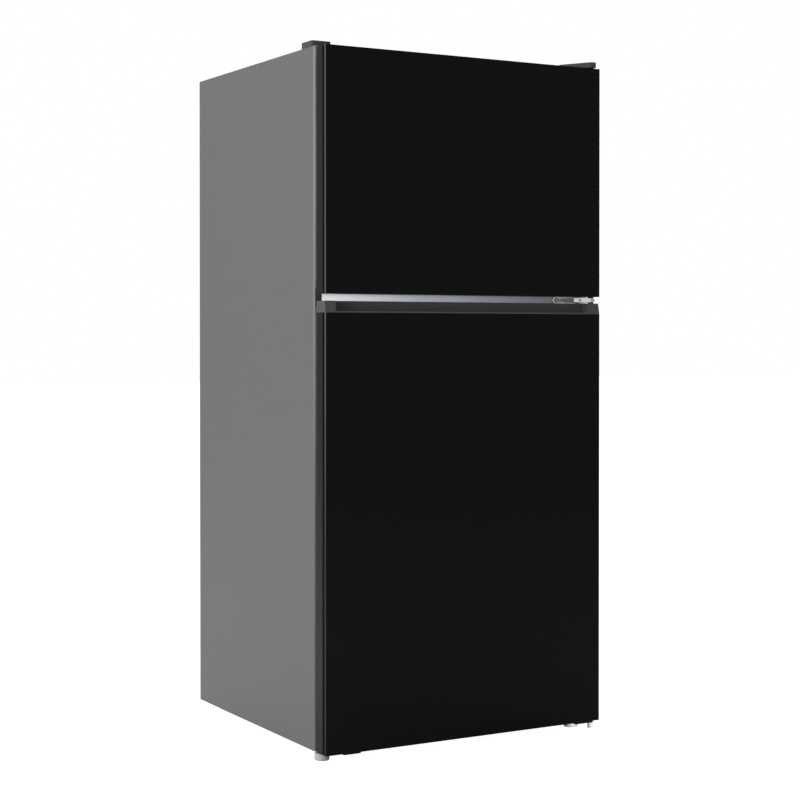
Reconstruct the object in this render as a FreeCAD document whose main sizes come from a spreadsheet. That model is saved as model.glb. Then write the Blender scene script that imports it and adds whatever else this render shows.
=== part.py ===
"""Top freezer refrigerator with two black glass doors, built as a parametric FreeCAD document.

Frame: +Z up, the floor is Z = 0, X = 0 and Y = 0 are the middle of the footprint,
the doors face -Y and +X is on the right of somebody who stands in front of it.
All sizes are in millimetres.
"""

import FreeCAD, Part
import os

import Sketcher

doc = FreeCAD.newDocument("top_freezer_refrigerator")

# ---------------------------------------------------------------- driving sizes
SIZES = {
    # overall
    "overall_width": 756, "overall_depth": 713, "floor_gap": 27, "cabinet_height": 1604.5,
    # doors
    "door_thick": 45.5, "gasket_gap": 10, "glass_thick": 4, "fridge_glass_height": 999,
    "handle_cap_height": 26.5, "between_gap": 16, "freezer_door_height": 559,
    "rail_thick": 6, "rail_lip": 3, "rail_groove_width": 9.5, "rail_groove_depth": 3,
    "cap_flange": 2, "cap_plug": 20, "cap_pad": 4, "door_liner_thick": 2, "fit_gap": 0.3,
    "handle_slope": 5, "handle_lip": 3.5, "handle_lip_thick": 5, "handle_reach": 30,
    "handle_trough": 14, "handle_end_left": 27, "handle_end_right": 30, "underside_pocket": 13,
    "gasket_inset": 16, "gasket_width": 14,
    "dyke_gap": 10, "dyke_width": 26, "dyke_height": 38, "dyke_wall": 2,
    # door bins
    "bin_depth": 95, "bin_wall": 3, "bin_side_gap": 0.5, "freezer_bin_height": 90,
    "freezer_bin_low": 1140, "freezer_bin_high": 1370,
    "fridge_bin_height": 105, "fridge_bin_low": 135, "fridge_bin_mid": 390, "fridge_bin_high": 620,
    "lug_size": 10, "lug_length": 22,
    "dairy_half_width": 220, "dairy_low": 850, "dairy_pivot_up": 75,
    # hinges
    "pivot_in": 13, "pivot_back": 19, "pin_radius": 4.5, "running_gap": 0.05, "pin_reach": 12,
    "hinge_plate": 3, "middle_arm": 10, "middle_plate_length": 103, "middle_plate_back": 66,
    "arm_end_radius": 7, "bottom_arm": 4, "bottom_arm_drop": 3, "collar_radius": 7,
    "collar_low": 6,
    # cabinet walls
    "sheet": 1, "fold_radius": 2.4, "steel_return": 32, "liner_thick": 2,
    "wall_fridge": 44, "wall_freezer": 54, "wall_top": 52, "wall_back": 60, "wall_floor": 62,
    "mullion_half": 36, "mullion_bar_height": 40, "mullion_proud": 3, "end_block": 17,
    "machine_height": 205, "machine_depth": 215, "hump_wall": 48,
    # inside
    "shelf_front": 142.5, "shelf_back_gap": 14, "shelf_height": 12, "shelf_glass": 4,
    "shelf_rim": 14, "shelf_side_gap": 0.5, "shelf_low": 560, "shelf_high": 770,
    "rib_out": 6, "rib_high": 8, "crisper_cover_low": 292, "crisper_depth": 235,
    "crisper_height": 180, "crisper_wall": 3, "crisper_side_gap": 5, "crisper_floor_gap": 3,
    "freezer_shelf_low": 1335, "evaporator_space": 76, "cover_wall": 3,
    "control_half_width": 130, "control_depth": 120, "control_height": 28, "knob_radius": 18,
    "knob_depth": 15, "shaft_radius": 3, "fan_radius": 52, "fan_hub": 17,
    # machine compartment
    "compressor_radius": 72, "compressor_height": 150, "compressor_wall": 3.5, "base_rail": 2,
    "base_rail_low": 32, "roller_radius": 15, "roller_width": 20, "roller_in": 66,
    "roller_back": 60, "axle_radius": 4,
    # feet and covers
    "foot_radius": 17.3, "foot_height": 17, "stem_radius": 5, "stem_length": 40,
    "foot_in": 30, "foot_back": 78, "cover_height": 13, "dummy_cover_height": 18, "cover_skin": 2,
    "screw_head_radius": 6, "screw_head_height": 3, "screw_radius": 2.5, "screw_length": 12,
}
sheet = doc.addObject("Spreadsheet::Sheet", "dims")
for row, (alias, number) in enumerate(SIZES.items(), start=1):
    sheet.set(f"A{row}", alias)
    sheet.set(f"B{row}", str(number))
    sheet.setAlias(f"B{row}", alias)
doc.recompute()


class Size:
    """A length that knows its spreadsheet expression and its present value."""

    def __init__(self, text, value):
        self.text = text
        self.value = value

    def _join(self, sign, other, value):
        return Size(f"({self.text} {sign} {as_size(other).text})", value)

    def __add__(self, other):
        return self._join("+", other, self.value + as_size(other).value)

    def __sub__(self, other):
        return self._join("-", other, self.value - as_size(other).value)

    def __mul__(self, other):
        return self._join("*", other, self.value * as_size(other).value)

    def __truediv__(self, other):
        return self._join("/", other, self.value / as_size(other).value)

    def __radd__(self, other):
        return as_size(other) + self

    def __rsub__(self, other):
        return as_size(other) - self

    def __neg__(self):
        return Size(f"(0 - {self.text})", -self.value)


def as_size(value):
    return value if isinstance(value, Size) else Size(str(value), float(value))


class Dims:
    """Gives each spreadsheet alias as a Size."""

    def __getattr__(self, alias):
        return Size(f"dims.{alias}", float(sheet.get(alias)))


d = Dims()


# ---------------------------------------------------------------- building blocks
def bind(obj, path, size):
    size = as_size(size)
    obj.setExpression(path, size.text)


def place(obj, x, y, z):
    bind(obj, "Placement.Base.x", x)
    bind(obj, "Placement.Base.y", y)
    bind(obj, "Placement.Base.z", z)


def box(x, y, z, name="block"):
    """A block between two X, two Y and two Z positions."""
    obj = doc.addObject("Part::Box", name)
    for path, (low, high) in {"Length": x, "Width": y, "Height": z}.items():
        bind(obj, path, as_size(high) - low)
    place(obj, x[0], y[0], z[0])
    return obj


def rod(radius, length, x, y, z, axis="Z", name="rod"):
    """A round bar that starts at (x, y, z) and runs along +axis."""
    obj = doc.addObject("Part::Cylinder", name)
    bind(obj, "Radius", radius)
    bind(obj, "Height", length)
    turn = {
        "X": FreeCAD.Rotation(FreeCAD.Vector(0, 1, 0), 90),
        "Y": FreeCAD.Rotation(FreeCAD.Vector(1, 0, 0), -90),
        "Z": FreeCAD.Rotation(),
    }[axis]
    obj.Placement = FreeCAD.Placement(FreeCAD.Vector(), turn)
    place(obj, x, y, z)
    return obj


def join(pieces, name="joined"):
    obj = doc.addObject("Part::MultiFuse", name)
    obj.Shapes = pieces
    return obj


def group(pieces, name="group"):
    obj = doc.addObject("Part::Compound", name)
    obj.Links = pieces
    return obj


def cut(base, tools, name="cut"):
    tool = tools[0] if len(tools) == 1 else join(tools, name + "_tools")
    obj = doc.addObject("Part::Cut", name)
    obj.Base = base
    obj.Tool = tool
    return obj


def plane_of(body, role):
    return next(f for f in body.Origin.OriginFeatures if f.Role == role)


def sketch_on(body, role, offset=None):
    """An empty sketch on one of the body's own origin planes, moved along its normal."""
    sketch = body.newObject("Sketcher::SketchObject", "profile")
    sketch.AttachmentSupport = [(plane_of(body, role), "")]
    sketch.MapMode = "FlatFace"
    if offset is not None:
        bind(sketch, "AttachmentOffset.Base.z", offset)
    return sketch


def outline(sketch, points):
    """A closed outline whose corners are all held by sheet expressions."""
    points = [(as_size(u), as_size(v)) for u, v in points]
    first = sketch.GeometryCount
    for index, (u, v) in enumerate(points):
        nu, nv = points[(index + 1) % len(points)]
        sketch.addGeometry(
            Part.LineSegment(
                FreeCAD.Vector(u.value, v.value, 0), FreeCAD.Vector(nu.value, nv.value, 0)
            ),
            False,
        )
    for index in range(len(points)):
        following = (index + 1) % len(points)
        sketch.addConstraint(
            Sketcher.Constraint("Coincident", first + index, 2, first + following, 1)
        )
    for index, (u, v) in enumerate(points):
        for kind, size in (("DistanceX", u), ("DistanceY", v)):
            number = sketch.addConstraint(
                Sketcher.Constraint(kind, -1, 1, first + index, 1, size.value)
            )
            sketch.setExpression(f"Constraints[{number}]", size.text)


def new_body(name):
    return doc.addObject("PartDesign::Body", name)


def pad(body, sketch, length):
    feature = body.newObject("PartDesign::Pad", "pad")
    feature.Profile = sketch
    bind(feature, "Length", length)
    doc.recompute()
    return feature


def pocket(body, sketch, length):
    """Removes the sketch's outline and turns the cut round if it misses the solid."""
    before = body.Shape.Volume
    feature = body.newObject("PartDesign::Pocket", "pocket")
    feature.Profile = sketch
    bind(feature, "Length", length)
    doc.recompute()
    if abs(feature.Shape.Volume - before) < 1e-3:
        feature.Reversed = True
        doc.recompute()
    if abs(feature.Shape.Volume - before) < 1e-3:
        raise ValueError(f"{body.Label}: a pocket removes nothing")
    return feature


def prism(points, low, high, name):
    """An outline in plan, raised between two heights."""
    body = new_body(name)
    sketch = sketch_on(body, "XY_Plane", low)
    outline(sketch, points)
    pad(body, sketch, as_size(high) - low)
    return body


def bar(points, low, high, name):
    """A side outline of (y, z) points, carried along X between two positions."""
    body = new_body(name)
    sketch = sketch_on(body, "YZ_Plane", low)
    outline(sketch, points)
    pad(body, sketch, as_size(high) - low)
    return body


def turned(points, name):
    """A (radius, height) outline turned about the body's own Z axis."""
    body = new_body(name)
    sketch = sketch_on(body, "XZ_Plane")
    outline(sketch, points)
    feature = body.newObject("PartDesign::Revolution", "turned")
    feature.Profile = sketch
    feature.ReferenceAxis = (sketch, ["V_Axis"])
    feature.Angle = 360
    doc.recompute()
    return body


def round_edges(body, radius, wanted):
    """Rounds the edges of the body's last feature that the test picks out."""
    tip = body.Tip
    names = [f"Edge{i}" for i, edge in enumerate(tip.Shape.Edges, start=1) if wanted(edge)]
    if not names:
        raise ValueError(f"{body.Label}: no edge to round")
    feature = body.newObject("PartDesign::Fillet", "rounded")
    feature.Base = (tip, names)
    bind(feature, "Radius", radius)
    doc.recompute()
    return feature


def is_upright(edge):
    direction = edge.tangentAt(edge.FirstParameter)
    return abs(abs(direction.z) - 1) < 1e-6


NODES = []


def node(obj, label):
    """Registers the finished object of one sub-part."""
    obj.Label = label
    NODES.append(obj)
    return obj


# ---------------------------------------------------------------- shared positions
HALF = d.overall_width / 2
FRONT = -d.overall_depth / 2
BACK = d.overall_depth / 2
DOOR_REAR = FRONT + d.door_thick
CAB_FRONT = DOOR_REAR + d.gasket_gap
BASE = d.floor_gap
CAB_TOP = BASE + d.cabinet_height
FRIDGE_GLASS_TOP = BASE + d.fridge_glass_height
FRIDGE_DOOR_TOP = FRIDGE_GLASS_TOP + d.handle_cap_height
FREEZER_DOOR_LOW = FRIDGE_DOOR_TOP + d.between_gap
FREEZER_DOOR_TOP = FREEZER_DOOR_LOW + d.freezer_door_height
GAP_MIDDLE = FRIDGE_DOOR_TOP + d.between_gap / 2
PIVOT_X = HALF - d.pivot_in
PIVOT_Y = FRONT + d.pivot_back
PIN_BORE = d.pin_radius + d.running_gap

INNER = HALF - d.sheet
FRIDGE_HALF = HALF - d.wall_fridge
FREEZER_HALF = HALF - d.wall_freezer
FRIDGE_LOW = BASE + d.wall_floor
FRIDGE_HIGH = GAP_MIDDLE - d.mullion_half
FREEZER_LOW = GAP_MIDDLE + d.mullion_half
FREEZER_HIGH = CAB_TOP - d.wall_top
CAVITY_BACK = BACK - d.wall_back
MACHINE_TOP = BASE + d.machine_height
MACHINE_FRONT = BACK - d.machine_depth
HUMP_TOP = MACHINE_TOP + d.hump_wall
HUMP_FRONT = MACHINE_FRONT - d.hump_wall
FLANGE_FRONT = CAB_FRONT + d.sheet
FLANGE_BACK = FLANGE_FRONT + d.liner_thick
SHELF_FRONT = CAB_FRONT + d.shelf_front
EVAP_FACE = CAVITY_BACK - d.liner_thick - d.evaporator_space
FOOT_X = HALF - d.foot_in
FOOT_Y = FRONT + d.foot_back
OVER = 5  # how far a cutting block runs past the face it opens


# ---------------------------------------------------------------- cabinet
def outer_wrapper():
    """One folded steel sheet: both sides, the top and the returns round the front."""
    body = new_body("wrapper")
    sketch = sketch_on(body, "XZ_Plane", -BACK)
    outline(sketch, [(-HALF, BASE), (HALF, BASE), (HALF, CAB_TOP), (-HALF, CAB_TOP)])
    pad(body, sketch, BACK - CAB_FRONT)
    inside = sketch_on(body, "XZ_Plane", -FLANGE_FRONT)
    outline(
        inside,
        [(-INNER, BASE - OVER), (INNER, BASE - OVER), (INNER, CAB_TOP - d.sheet),
         (-INNER, CAB_TOP - d.sheet)],
    )
    pocket(body, inside, BACK - CAB_FRONT)
    mouth = sketch_on(body, "XZ_Plane", -CAB_FRONT)
    edge = HALF - d.steel_return
    outline(
        mouth,
        [(-edge, BASE - OVER), (edge, BASE - OVER), (edge, CAB_TOP - d.steel_return),
         (-edge, CAB_TOP - d.steel_return)],
    )
    pocket(body, mouth, d.sheet * 2)

    def on_outer_front(edge):
        middle = edge.CenterOfMass
        return abs(middle.y - CAB_FRONT.value) < 1e-4 and (
            abs(abs(middle.x) - HALF.value) < 1e-4 or abs(middle.z - CAB_TOP.value) < 1e-4
        )

    round_edges(body, d.fold_radius, on_outer_front)
    return body


wrapper = node(outer_wrapper(), "outer_wrapper")
if wrapper.Shape.BoundBox.YMin < CAB_FRONT.value - 1e-3 or wrapper.Shape.Volume > 8e6:
    raise ValueError("the wrapper is not an open folded sheet")

node(
    box((-INNER, INNER), (BACK - d.sheet, BACK), (MACHINE_TOP, CAB_TOP - d.sheet)),
    "rear_panel",
)


def foot_hole(side, high, clearance=1):
    """The clearance hole of one levelling foot's stem, up to a height."""
    low = d.foot_height
    return rod(d.stem_radius + clearance, high - low, FOOT_X * side, FOOT_Y, low)


# the base pan is one sheet folded up and back over the machine compartment
pan = join([
    box((-INNER, INNER), (FLANGE_BACK, MACHINE_FRONT), (BASE, BASE + d.sheet * 2)),
    box((-INNER, INNER), (MACHINE_FRONT - d.sheet * 2, MACHINE_FRONT), (BASE, MACHINE_TOP)),
    box((-INNER, INNER), (MACHINE_FRONT - d.sheet * 2, BACK - d.sheet),
        (MACHINE_TOP - d.sheet * 2, MACHINE_TOP)),
])
node(cut(pan, [foot_hole(-1, BASE + OVER), foot_hole(1, BASE + OVER)]), "base_pan")

# foam fills everything between the steel and the two liners
foam = box((-INNER, INNER), (FLANGE_BACK, BACK - d.sheet), (BASE + d.sheet * 2, CAB_TOP - d.sheet))
node(
    cut(foam, [
        box((-FRIDGE_HALF, FRIDGE_HALF), (FLANGE_BACK - OVER, HUMP_FRONT), (FRIDGE_LOW, FRIDGE_HIGH)),
        box((-FRIDGE_HALF, FRIDGE_HALF), (FLANGE_BACK, CAVITY_BACK), (HUMP_TOP, FRIDGE_HIGH)),
        box((-FREEZER_HALF, FREEZER_HALF), (FLANGE_BACK - OVER, CAVITY_BACK),
            (FREEZER_LOW, FREEZER_HIGH)),
        box((-HALF, HALF), (MACHINE_FRONT - d.sheet * 2, BACK + OVER), (BASE - OVER, MACHINE_TOP)),
        foot_hole(-1, BASE + d.stem_length),
        foot_hole(1, BASE + d.stem_length),
    ]),
    "insulation",
)


def rib(side, half, low, back):
    """A moulded ledge on a liner's side wall that carries a shelf."""
    inner = half - d.liner_thick
    span = sorted((inner * side, (inner - d.rib_out) * side), key=lambda size: size.value)
    return box(tuple(span), (SHELF_FRONT, back), (as_size(low) - d.rib_high, low))


def liner(half, low, high, flange_low, flange_high, hump, ledges, ledge_back):
    """A vacuum-formed inner box: thin walls, a flange at the mouth and moulded ledges."""
    wall = d.liner_thick
    skin = [box((-half, half), (FLANGE_FRONT, HUMP_FRONT if hump else CAVITY_BACK), (low, high))]
    hollow = [
        box((-half + wall, half - wall),
            (FLANGE_FRONT - OVER, (HUMP_FRONT if hump else CAVITY_BACK) - wall),
            (low + wall, high - wall))
    ]
    if hump:
        skin.append(box((-half, half), (FLANGE_FRONT, CAVITY_BACK), (HUMP_TOP, high)))
        hollow.append(
            box((-half + wall, half - wall), (FLANGE_FRONT - OVER, CAVITY_BACK - wall),
                (HUMP_TOP + wall, high - wall))
        )
    edge = INNER
    skin.append(box((-edge, edge), (FLANGE_FRONT, FLANGE_BACK), (flange_low, flange_high)))
    shell = cut(join(skin), hollow)
    return join([shell] + [rib(side, half, z, ledge_back) for z in ledges for side in (-1, 1)])


node(
    liner(FREEZER_HALF, FREEZER_LOW, FREEZER_HIGH, GAP_MIDDLE, CAB_TOP - d.sheet, False,
          [d.freezer_shelf_low], EVAP_FACE - d.shelf_back_gap),
    "freezer_liner",
)
node(
    liner(FRIDGE_HALF, FRIDGE_LOW, FRIDGE_HIGH, BASE + d.sheet * 2, GAP_MIDDLE, True,
          [d.crisper_cover_low, d.shelf_low, d.shelf_high], CAVITY_BACK - d.shelf_back_gap),
    "fresh_food_liner",
)

# the divider between the compartments shows as a bright bar between the doors
BAR = (GAP_MIDDLE - d.mullion_bar_height / 2, GAP_MIDDLE + d.mullion_bar_height / 2)
BAR_FRONT = CAB_FRONT - d.mullion_proud
node(box((-HALF + d.end_block, HALF - 2), (BAR_FRONT, CAB_FRONT), BAR), "mullion_bar")
node(
    box((-HALF + 0.5, -HALF + d.end_block), (BAR_FRONT - 0.5, CAB_FRONT), BAR),
    "mullion_end_block",
)


# ---------------------------------------------------------------- hinges
def pin(low, high, radius=d.pin_radius):
    return rod(radius, as_size(high) - low, PIVOT_X, PIVOT_Y, low)


def arm(low, high, inner_x, back_y):
    """A flat arm from the cabinet to the pivot, rounded about the pin."""
    reach = d.arm_end_radius
    return [
        box((inner_x, PIVOT_X + reach), (PIVOT_Y, back_y), (low, high)),
        rod(reach, as_size(high) - low, PIVOT_X, PIVOT_Y, low),
        box((inner_x, PIVOT_X), (PIVOT_Y - reach, back_y), (low, high)),
    ]


TOP_PLATE_BACK = CAB_FRONT + 62
TOP_SCREWS = [(HALF - 20, CAB_FRONT + 20), (HALF - 20, CAB_FRONT + 50), (HALF - 38, CAB_FRONT + 35)]
MIDDLE_SCREWS = [HALF - 2 - d.middle_plate_length + 10, HALF - 50]
BOTTOM_SCREWS = [(HALF - 70, CAB_FRONT + 16), (HALF - 70, CAB_FRONT + 46)]
BOTTOM_ARM_TOP = BASE - d.bottom_arm_drop
BOTTOM_ARM_LOW = BOTTOM_ARM_TOP - d.bottom_arm
HOLE = d.screw_radius + 0.3

TOP_PLATE = (CAB_TOP, CAB_TOP + d.hinge_plate)
top_plate = join(
    arm(*TOP_PLATE, HALF - 20, CAB_FRONT + 10)
    + [
        box((HALF - 46, HALF - 6), (CAB_FRONT + 8, TOP_PLATE_BACK), TOP_PLATE),
        pin(FREEZER_DOOR_TOP - d.pin_reach, CAB_TOP + d.hinge_plate),
    ]
)
node(
    cut(top_plate, [rod(HOLE, 20, x, y, CAB_TOP - OVER) for x, y in TOP_SCREWS]),
    "top_hinge",
)

MID_LOW = GAP_MIDDLE - d.middle_arm / 2
MID_HIGH = GAP_MIDDLE + d.middle_arm / 2
MID_FACE = BAR_FRONT - d.hinge_plate
plate_left = HALF - 2 - d.middle_plate_length
half_gap = d.between_gap / 2 - 0.5
middle = join(
    arm(MID_LOW, MID_HIGH, HALF - 2 - d.middle_plate_back, BAR_FRONT)
    + [
        box((plate_left + half_gap, HALF - 2), (MID_FACE, BAR_FRONT),
            (GAP_MIDDLE - half_gap, GAP_MIDDLE + half_gap)),
        rod(half_gap, d.hinge_plate, plate_left + half_gap, MID_FACE, GAP_MIDDLE, "Y"),
        pin(FRIDGE_DOOR_TOP - d.pin_reach, FREEZER_DOOR_LOW + d.pin_reach),
    ]
)
node(
    cut(middle, [rod(HOLE, 60, x, FRONT, GAP_MIDDLE, "Y") for x in MIDDLE_SCREWS]),
    "middle_hinge",
)

bottom = join(
    arm(BOTTOM_ARM_LOW, BOTTOM_ARM_TOP, HALF - 60, FLANGE_BACK + 6)
    + [box((HALF - 86, HALF - 4), (FLANGE_BACK + 2, FOOT_Y + 34), (BOTTOM_ARM_LOW, BASE))]
)
node(
    cut(bottom, [
        foot_hole(1, BASE + OVER, 1.5),
        rod(d.pin_radius, 20, PIVOT_X, PIVOT_Y, BOTTOM_ARM_LOW - OVER),
    ] + [rod(HOLE, 30, x, y, BASE - 20) for x, y in BOTTOM_SCREWS]),
    "bottom_hinge",
)
pin_outline = [
    (0, d.collar_low), (d.collar_radius - 1, d.collar_low), (d.collar_radius, d.collar_low + 1.5),
    (d.collar_radius, BOTTOM_ARM_LOW), (d.pin_radius, BOTTOM_ARM_LOW),
    (d.pin_radius, BASE + d.pin_reach - 1), (d.pin_radius - 1, BASE + d.pin_reach),
    (0, BASE + d.pin_reach),
]
bottom_pin = turned(pin_outline, "bottom_pin")
place(bottom_pin, PIVOT_X, PIVOT_Y, 0)
node(bottom_pin, "bottom_hinge_pin")


def screw(x, y, z, axis, side):
    """A pan-head screw; side is the way its head stands off along the axis."""
    pieces = []
    for radius, length, way in (
        (d.screw_head_radius, d.screw_head_height, side),
        (d.screw_radius, d.screw_length, -side),
    ):
        spot = {"X": x, "Y": y, "Z": z}
        if way < 0:
            spot[axis] = spot[axis] - length
        pieces.append(rod(radius, length, spot["X"], spot["Y"], spot["Z"], axis))
    return join(pieces)


node(
    group(
        [screw(x, y, CAB_TOP + d.hinge_plate, "Z", 1) for x, y in TOP_SCREWS]
        + [screw(MIDDLE_SCREWS[0], MID_FACE, GAP_MIDDLE, "Y", -1)]
        + [screw(x, y, BOTTOM_ARM_LOW, "Z", -1) for x, y in BOTTOM_SCREWS]
    ),
    "hinge_screws",
)


def top_cover(points, height, name, tools):
    """A shallow moulded cap, rounded on its upright corners and round its top."""
    body = prism(points, CAB_TOP, CAB_TOP + height, name)
    round_edges(body, 6, is_upright)
    top = (CAB_TOP + height).value
    round_edges(body, 1.5, lambda edge: edge.BoundBox.ZMin > top - 1e-3)
    return cut(body, tools)


right_points = [
    (HALF - 20, FRONT + 6), (HALF - 4, FRONT + 6), (HALF - 4, CAB_FRONT + 70),
    (HALF - 62, CAB_FRONT + 70), (HALF - 62, CAB_FRONT + 22),
]
right_inside = [
    (HALF - 18.9, FRONT + 8), (HALF - 5.5, FRONT + 8), (HALF - 5.5, CAB_FRONT + 68),
    (HALF - 60, CAB_FRONT + 68), (HALF - 60, CAB_FRONT + 22.5),
]
node(
    top_cover(right_points, d.cover_height, "cover_right", [
        prism(right_inside, CAB_TOP - OVER, CAB_TOP + d.cover_height - d.cover_skin,
              "cover_right_inside"),
    ]),
    "hinge_cover_right",
)
left_points = [
    (-HALF + 8, CAB_FRONT + 30), (-HALF + 59, CAB_FRONT + 30), (-HALF + 59, CAB_FRONT + 85),
    (-HALF + 8, CAB_FRONT + 85),
]
node(
    top_cover(left_points, d.dummy_cover_height, "cover_left", [
        box((-HALF + 10, -HALF + 57), (CAB_FRONT + 32, CAB_FRONT + 83),
            (CAB_TOP - OVER, CAB_TOP + d.dummy_cover_height - d.cover_skin)),
    ]),
    "hinge_cover_left",
)


# ---------------------------------------------------------------- feet and rollers
def foot(side, label):
    """A moulded levelling foot with a rounded rim and a threaded stem."""
    body = turned([
        (0, 0), (d.foot_radius - 3, 0), (d.foot_radius - 1, 1), (d.foot_radius, 3),
        (d.foot_radius, d.foot_height - 1), (d.foot_radius - 1, d.foot_height),
        (d.stem_radius, d.foot_height), (d.stem_radius, d.foot_height + d.stem_length),
        (0, d.foot_height + d.stem_length),
    ], label + "_body")
    place(body, FOOT_X * side, FOOT_Y, 0)
    return node(body, label)


foot(-1, "foot_left")
foot(1, "foot_right")

ROLLER_X = INNER - d.roller_in
ROLLER_Y = BACK - d.roller_back


def roller(side, label):
    half = d.roller_width / 2
    body = turned([
        (d.axle_radius + d.running_gap, -half), (d.roller_radius - 1.5, -half),
        (d.roller_radius, -half + 1.5), (d.roller_radius, half - 1.5),
        (d.roller_radius - 1.5, half), (d.axle_radius + d.running_gap, half),
    ], label + "_body")
    body.Placement = FreeCAD.Placement(
        FreeCAD.Vector(), FreeCAD.Rotation(FreeCAD.Vector(0, 1, 0), 90)
    )
    place(body, ROLLER_X * side, ROLLER_Y, d.roller_radius)
    return node(body, label)


roller(-1, "roller_left")
roller(1, "roller_right")

# a ribbed rail across the back carries the compressor; its ears hold the roller axles
RAIL_TOP = d.base_rail_low + d.base_rail
ears = []
for side in (-1, 1):
    for offset in (-14, 11):
        x0 = ROLLER_X * side + offset
        ears.append(box((x0, x0 + 3), (ROLLER_Y - 9, ROLLER_Y + 9), (d.roller_radius - 9, RAIL_TOP)))
    ears.append(rod(d.axle_radius, 28, ROLLER_X * side - 14, ROLLER_Y, d.roller_radius, "X"))
node(
    join([
        box((-INNER, INNER), (MACHINE_FRONT + 8, BACK - 12), (d.base_rail_low, RAIL_TOP)),
        box((-INNER, INNER), (MACHINE_FRONT + 8, MACHINE_FRONT + 10), (RAIL_TOP, RAIL_TOP + 14)),
        box((-INNER, INNER), (BACK - 14, BACK - 12), (RAIL_TOP, RAIL_TOP + 14)),
    ] + ears),
    "compressor_base",
)

# ---------------------------------------------------------------- machine compartment
COMP_X, COMP_Y = as_size(150), (MACHINE_FRONT + BACK) / 2 + 4
COMP_LOW = RAIL_TOP + 8
r, h, w = d.compressor_radius, d.compressor_height, d.compressor_wall
shell = turned([
    (0, 0), (r - 14, 0), (r - 4, 5), (r, 16), (r, h * 0.45), (r + 4, h * 0.45), (r + 4, h * 0.47),
    (r, h * 0.47), (r, h - 30), (r - 8, h - 12), (r - 28, h - 2), (0, h), (0, h - w),
    (r - 29, h - 2 - w), (r - 10, h - 15), (r - w, h - 31), (r - w, 17), (r - 6, 8), (r - 15, w), (0, w),
], "compressor_shell")
place(shell, COMP_X, COMP_Y, COMP_LOW)
corner = d.compressor_radius + 6
legs = [
    box((COMP_X - corner, COMP_X + corner), (COMP_Y + y - 10, COMP_Y + y + 10),
        (COMP_LOW - 3, COMP_LOW))
    for y in (-48, 48)
]
node(join([shell] + legs), "compressor")
node(
    group([
        rod(9, COMP_LOW - 3 - RAIL_TOP, COMP_X + x, COMP_Y + y, RAIL_TOP)
        for x in (-68, 68) for y in (-48, 48)
    ]),
    "compressor_grommets",
)

# finned condenser, its fan and the tray above them that catches the melt water
FAN_Z = as_size(108)
COND = (-INNER + 30, -INNER + 150)
fins = [
    box((COND[0] + 8 * i, COND[0] + 8 * i + 1), (MACHINE_FRONT + 26, BACK - 26), (RAIL_TOP + 6, 160))
    for i in range(14)
]
tubes = [
    rod(3.2, 118, COND[0] - 6, y, z, "X")
    for y in (MACHINE_FRONT + 60, BACK - 60) for z in (60, 100, 140)
]
feet_of_condenser = [
    box((COND[0], COND[0] + 105), (y, y + 2), (RAIL_TOP, RAIL_TOP + 20))
    for y in (MACHINE_FRONT + 40, BACK - 42)
]
node(join(fins + tubes + feet_of_condenser), "condenser")
node(
    cut(
        box((-INNER + 12, -110), (MACHINE_FRONT + 12, BACK - 16), (168, 200)),
        [box((-INNER + 14, -112), (MACHINE_FRONT + 14, BACK - 18), (170, 220))],
    ),
    "drain_pan",
)

FAN_Y = (MACHINE_FRONT + BACK) / 2
FAN_X = as_size(-150)


def fan_blades(label, reach):
    """A hub with five pitched blades about the body's own Z axis."""
    body = turned([
        (d.shaft_radius + d.running_gap, 0), (d.fan_hub, 0), (d.fan_hub, 16), (d.fan_hub - 3, 18),
        (d.shaft_radius + d.running_gap, 18),
    ], label + "_body")
    sketch = sketch_on(body, "XZ_Plane", as_size(-2))
    outline(sketch, [(d.fan_hub - 2, 2), (reach, 4), (reach, 7), (d.fan_hub - 2, 5)])
    blade = pad(body, sketch, d.fan_hub * 1.5)
    blade.Midplane = True
    doc.recompute()
    pattern = body.newObject("PartDesign::PolarPattern", "blades")
    pattern.Originals = [blade]
    pattern.Axis = (plane_of(body, "Z_Axis"), [""])
    pattern.Angle = 360
    pattern.Occurrences = 5
    body.Tip = pattern
    doc.recompute()
    return body


cond_blades = fan_blades("condenser_blades", d.fan_radius)
cond_blades.Placement = FreeCAD.Placement(
    FreeCAD.Vector(), FreeCAD.Rotation(FreeCAD.Vector(0, 1, 0), 90)
)
place(cond_blades, FAN_X, FAN_Y, FAN_Z)
node(cond_blades, "condenser_fan_blade")
shroud = cut(
    box((FAN_X - 6, FAN_X - 3), (FAN_Y - 70, FAN_Y + 70), (RAIL_TOP, 166)),
    [rod(d.fan_radius + 4, 20, FAN_X - 12, FAN_Y, FAN_Z, "X")],
)
node(
    join([
        shroud,
        rod(d.shaft_radius, 30, FAN_X + 4, FAN_Y, FAN_Z, "X"),
        rod(22, 34, FAN_X + 26, FAN_Y, FAN_Z, "X"),
        box((FAN_X - 6, FAN_X + 60), (FAN_Y - 64, FAN_Y - 60), (FAN_Z - 6, FAN_Z + 6)),
        box((FAN_X + 40, FAN_X + 46), (FAN_Y - 64, FAN_Y), (FAN_Z - 6, FAN_Z + 6)),
    ]),
    "condenser_fan_motor",
)

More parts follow.
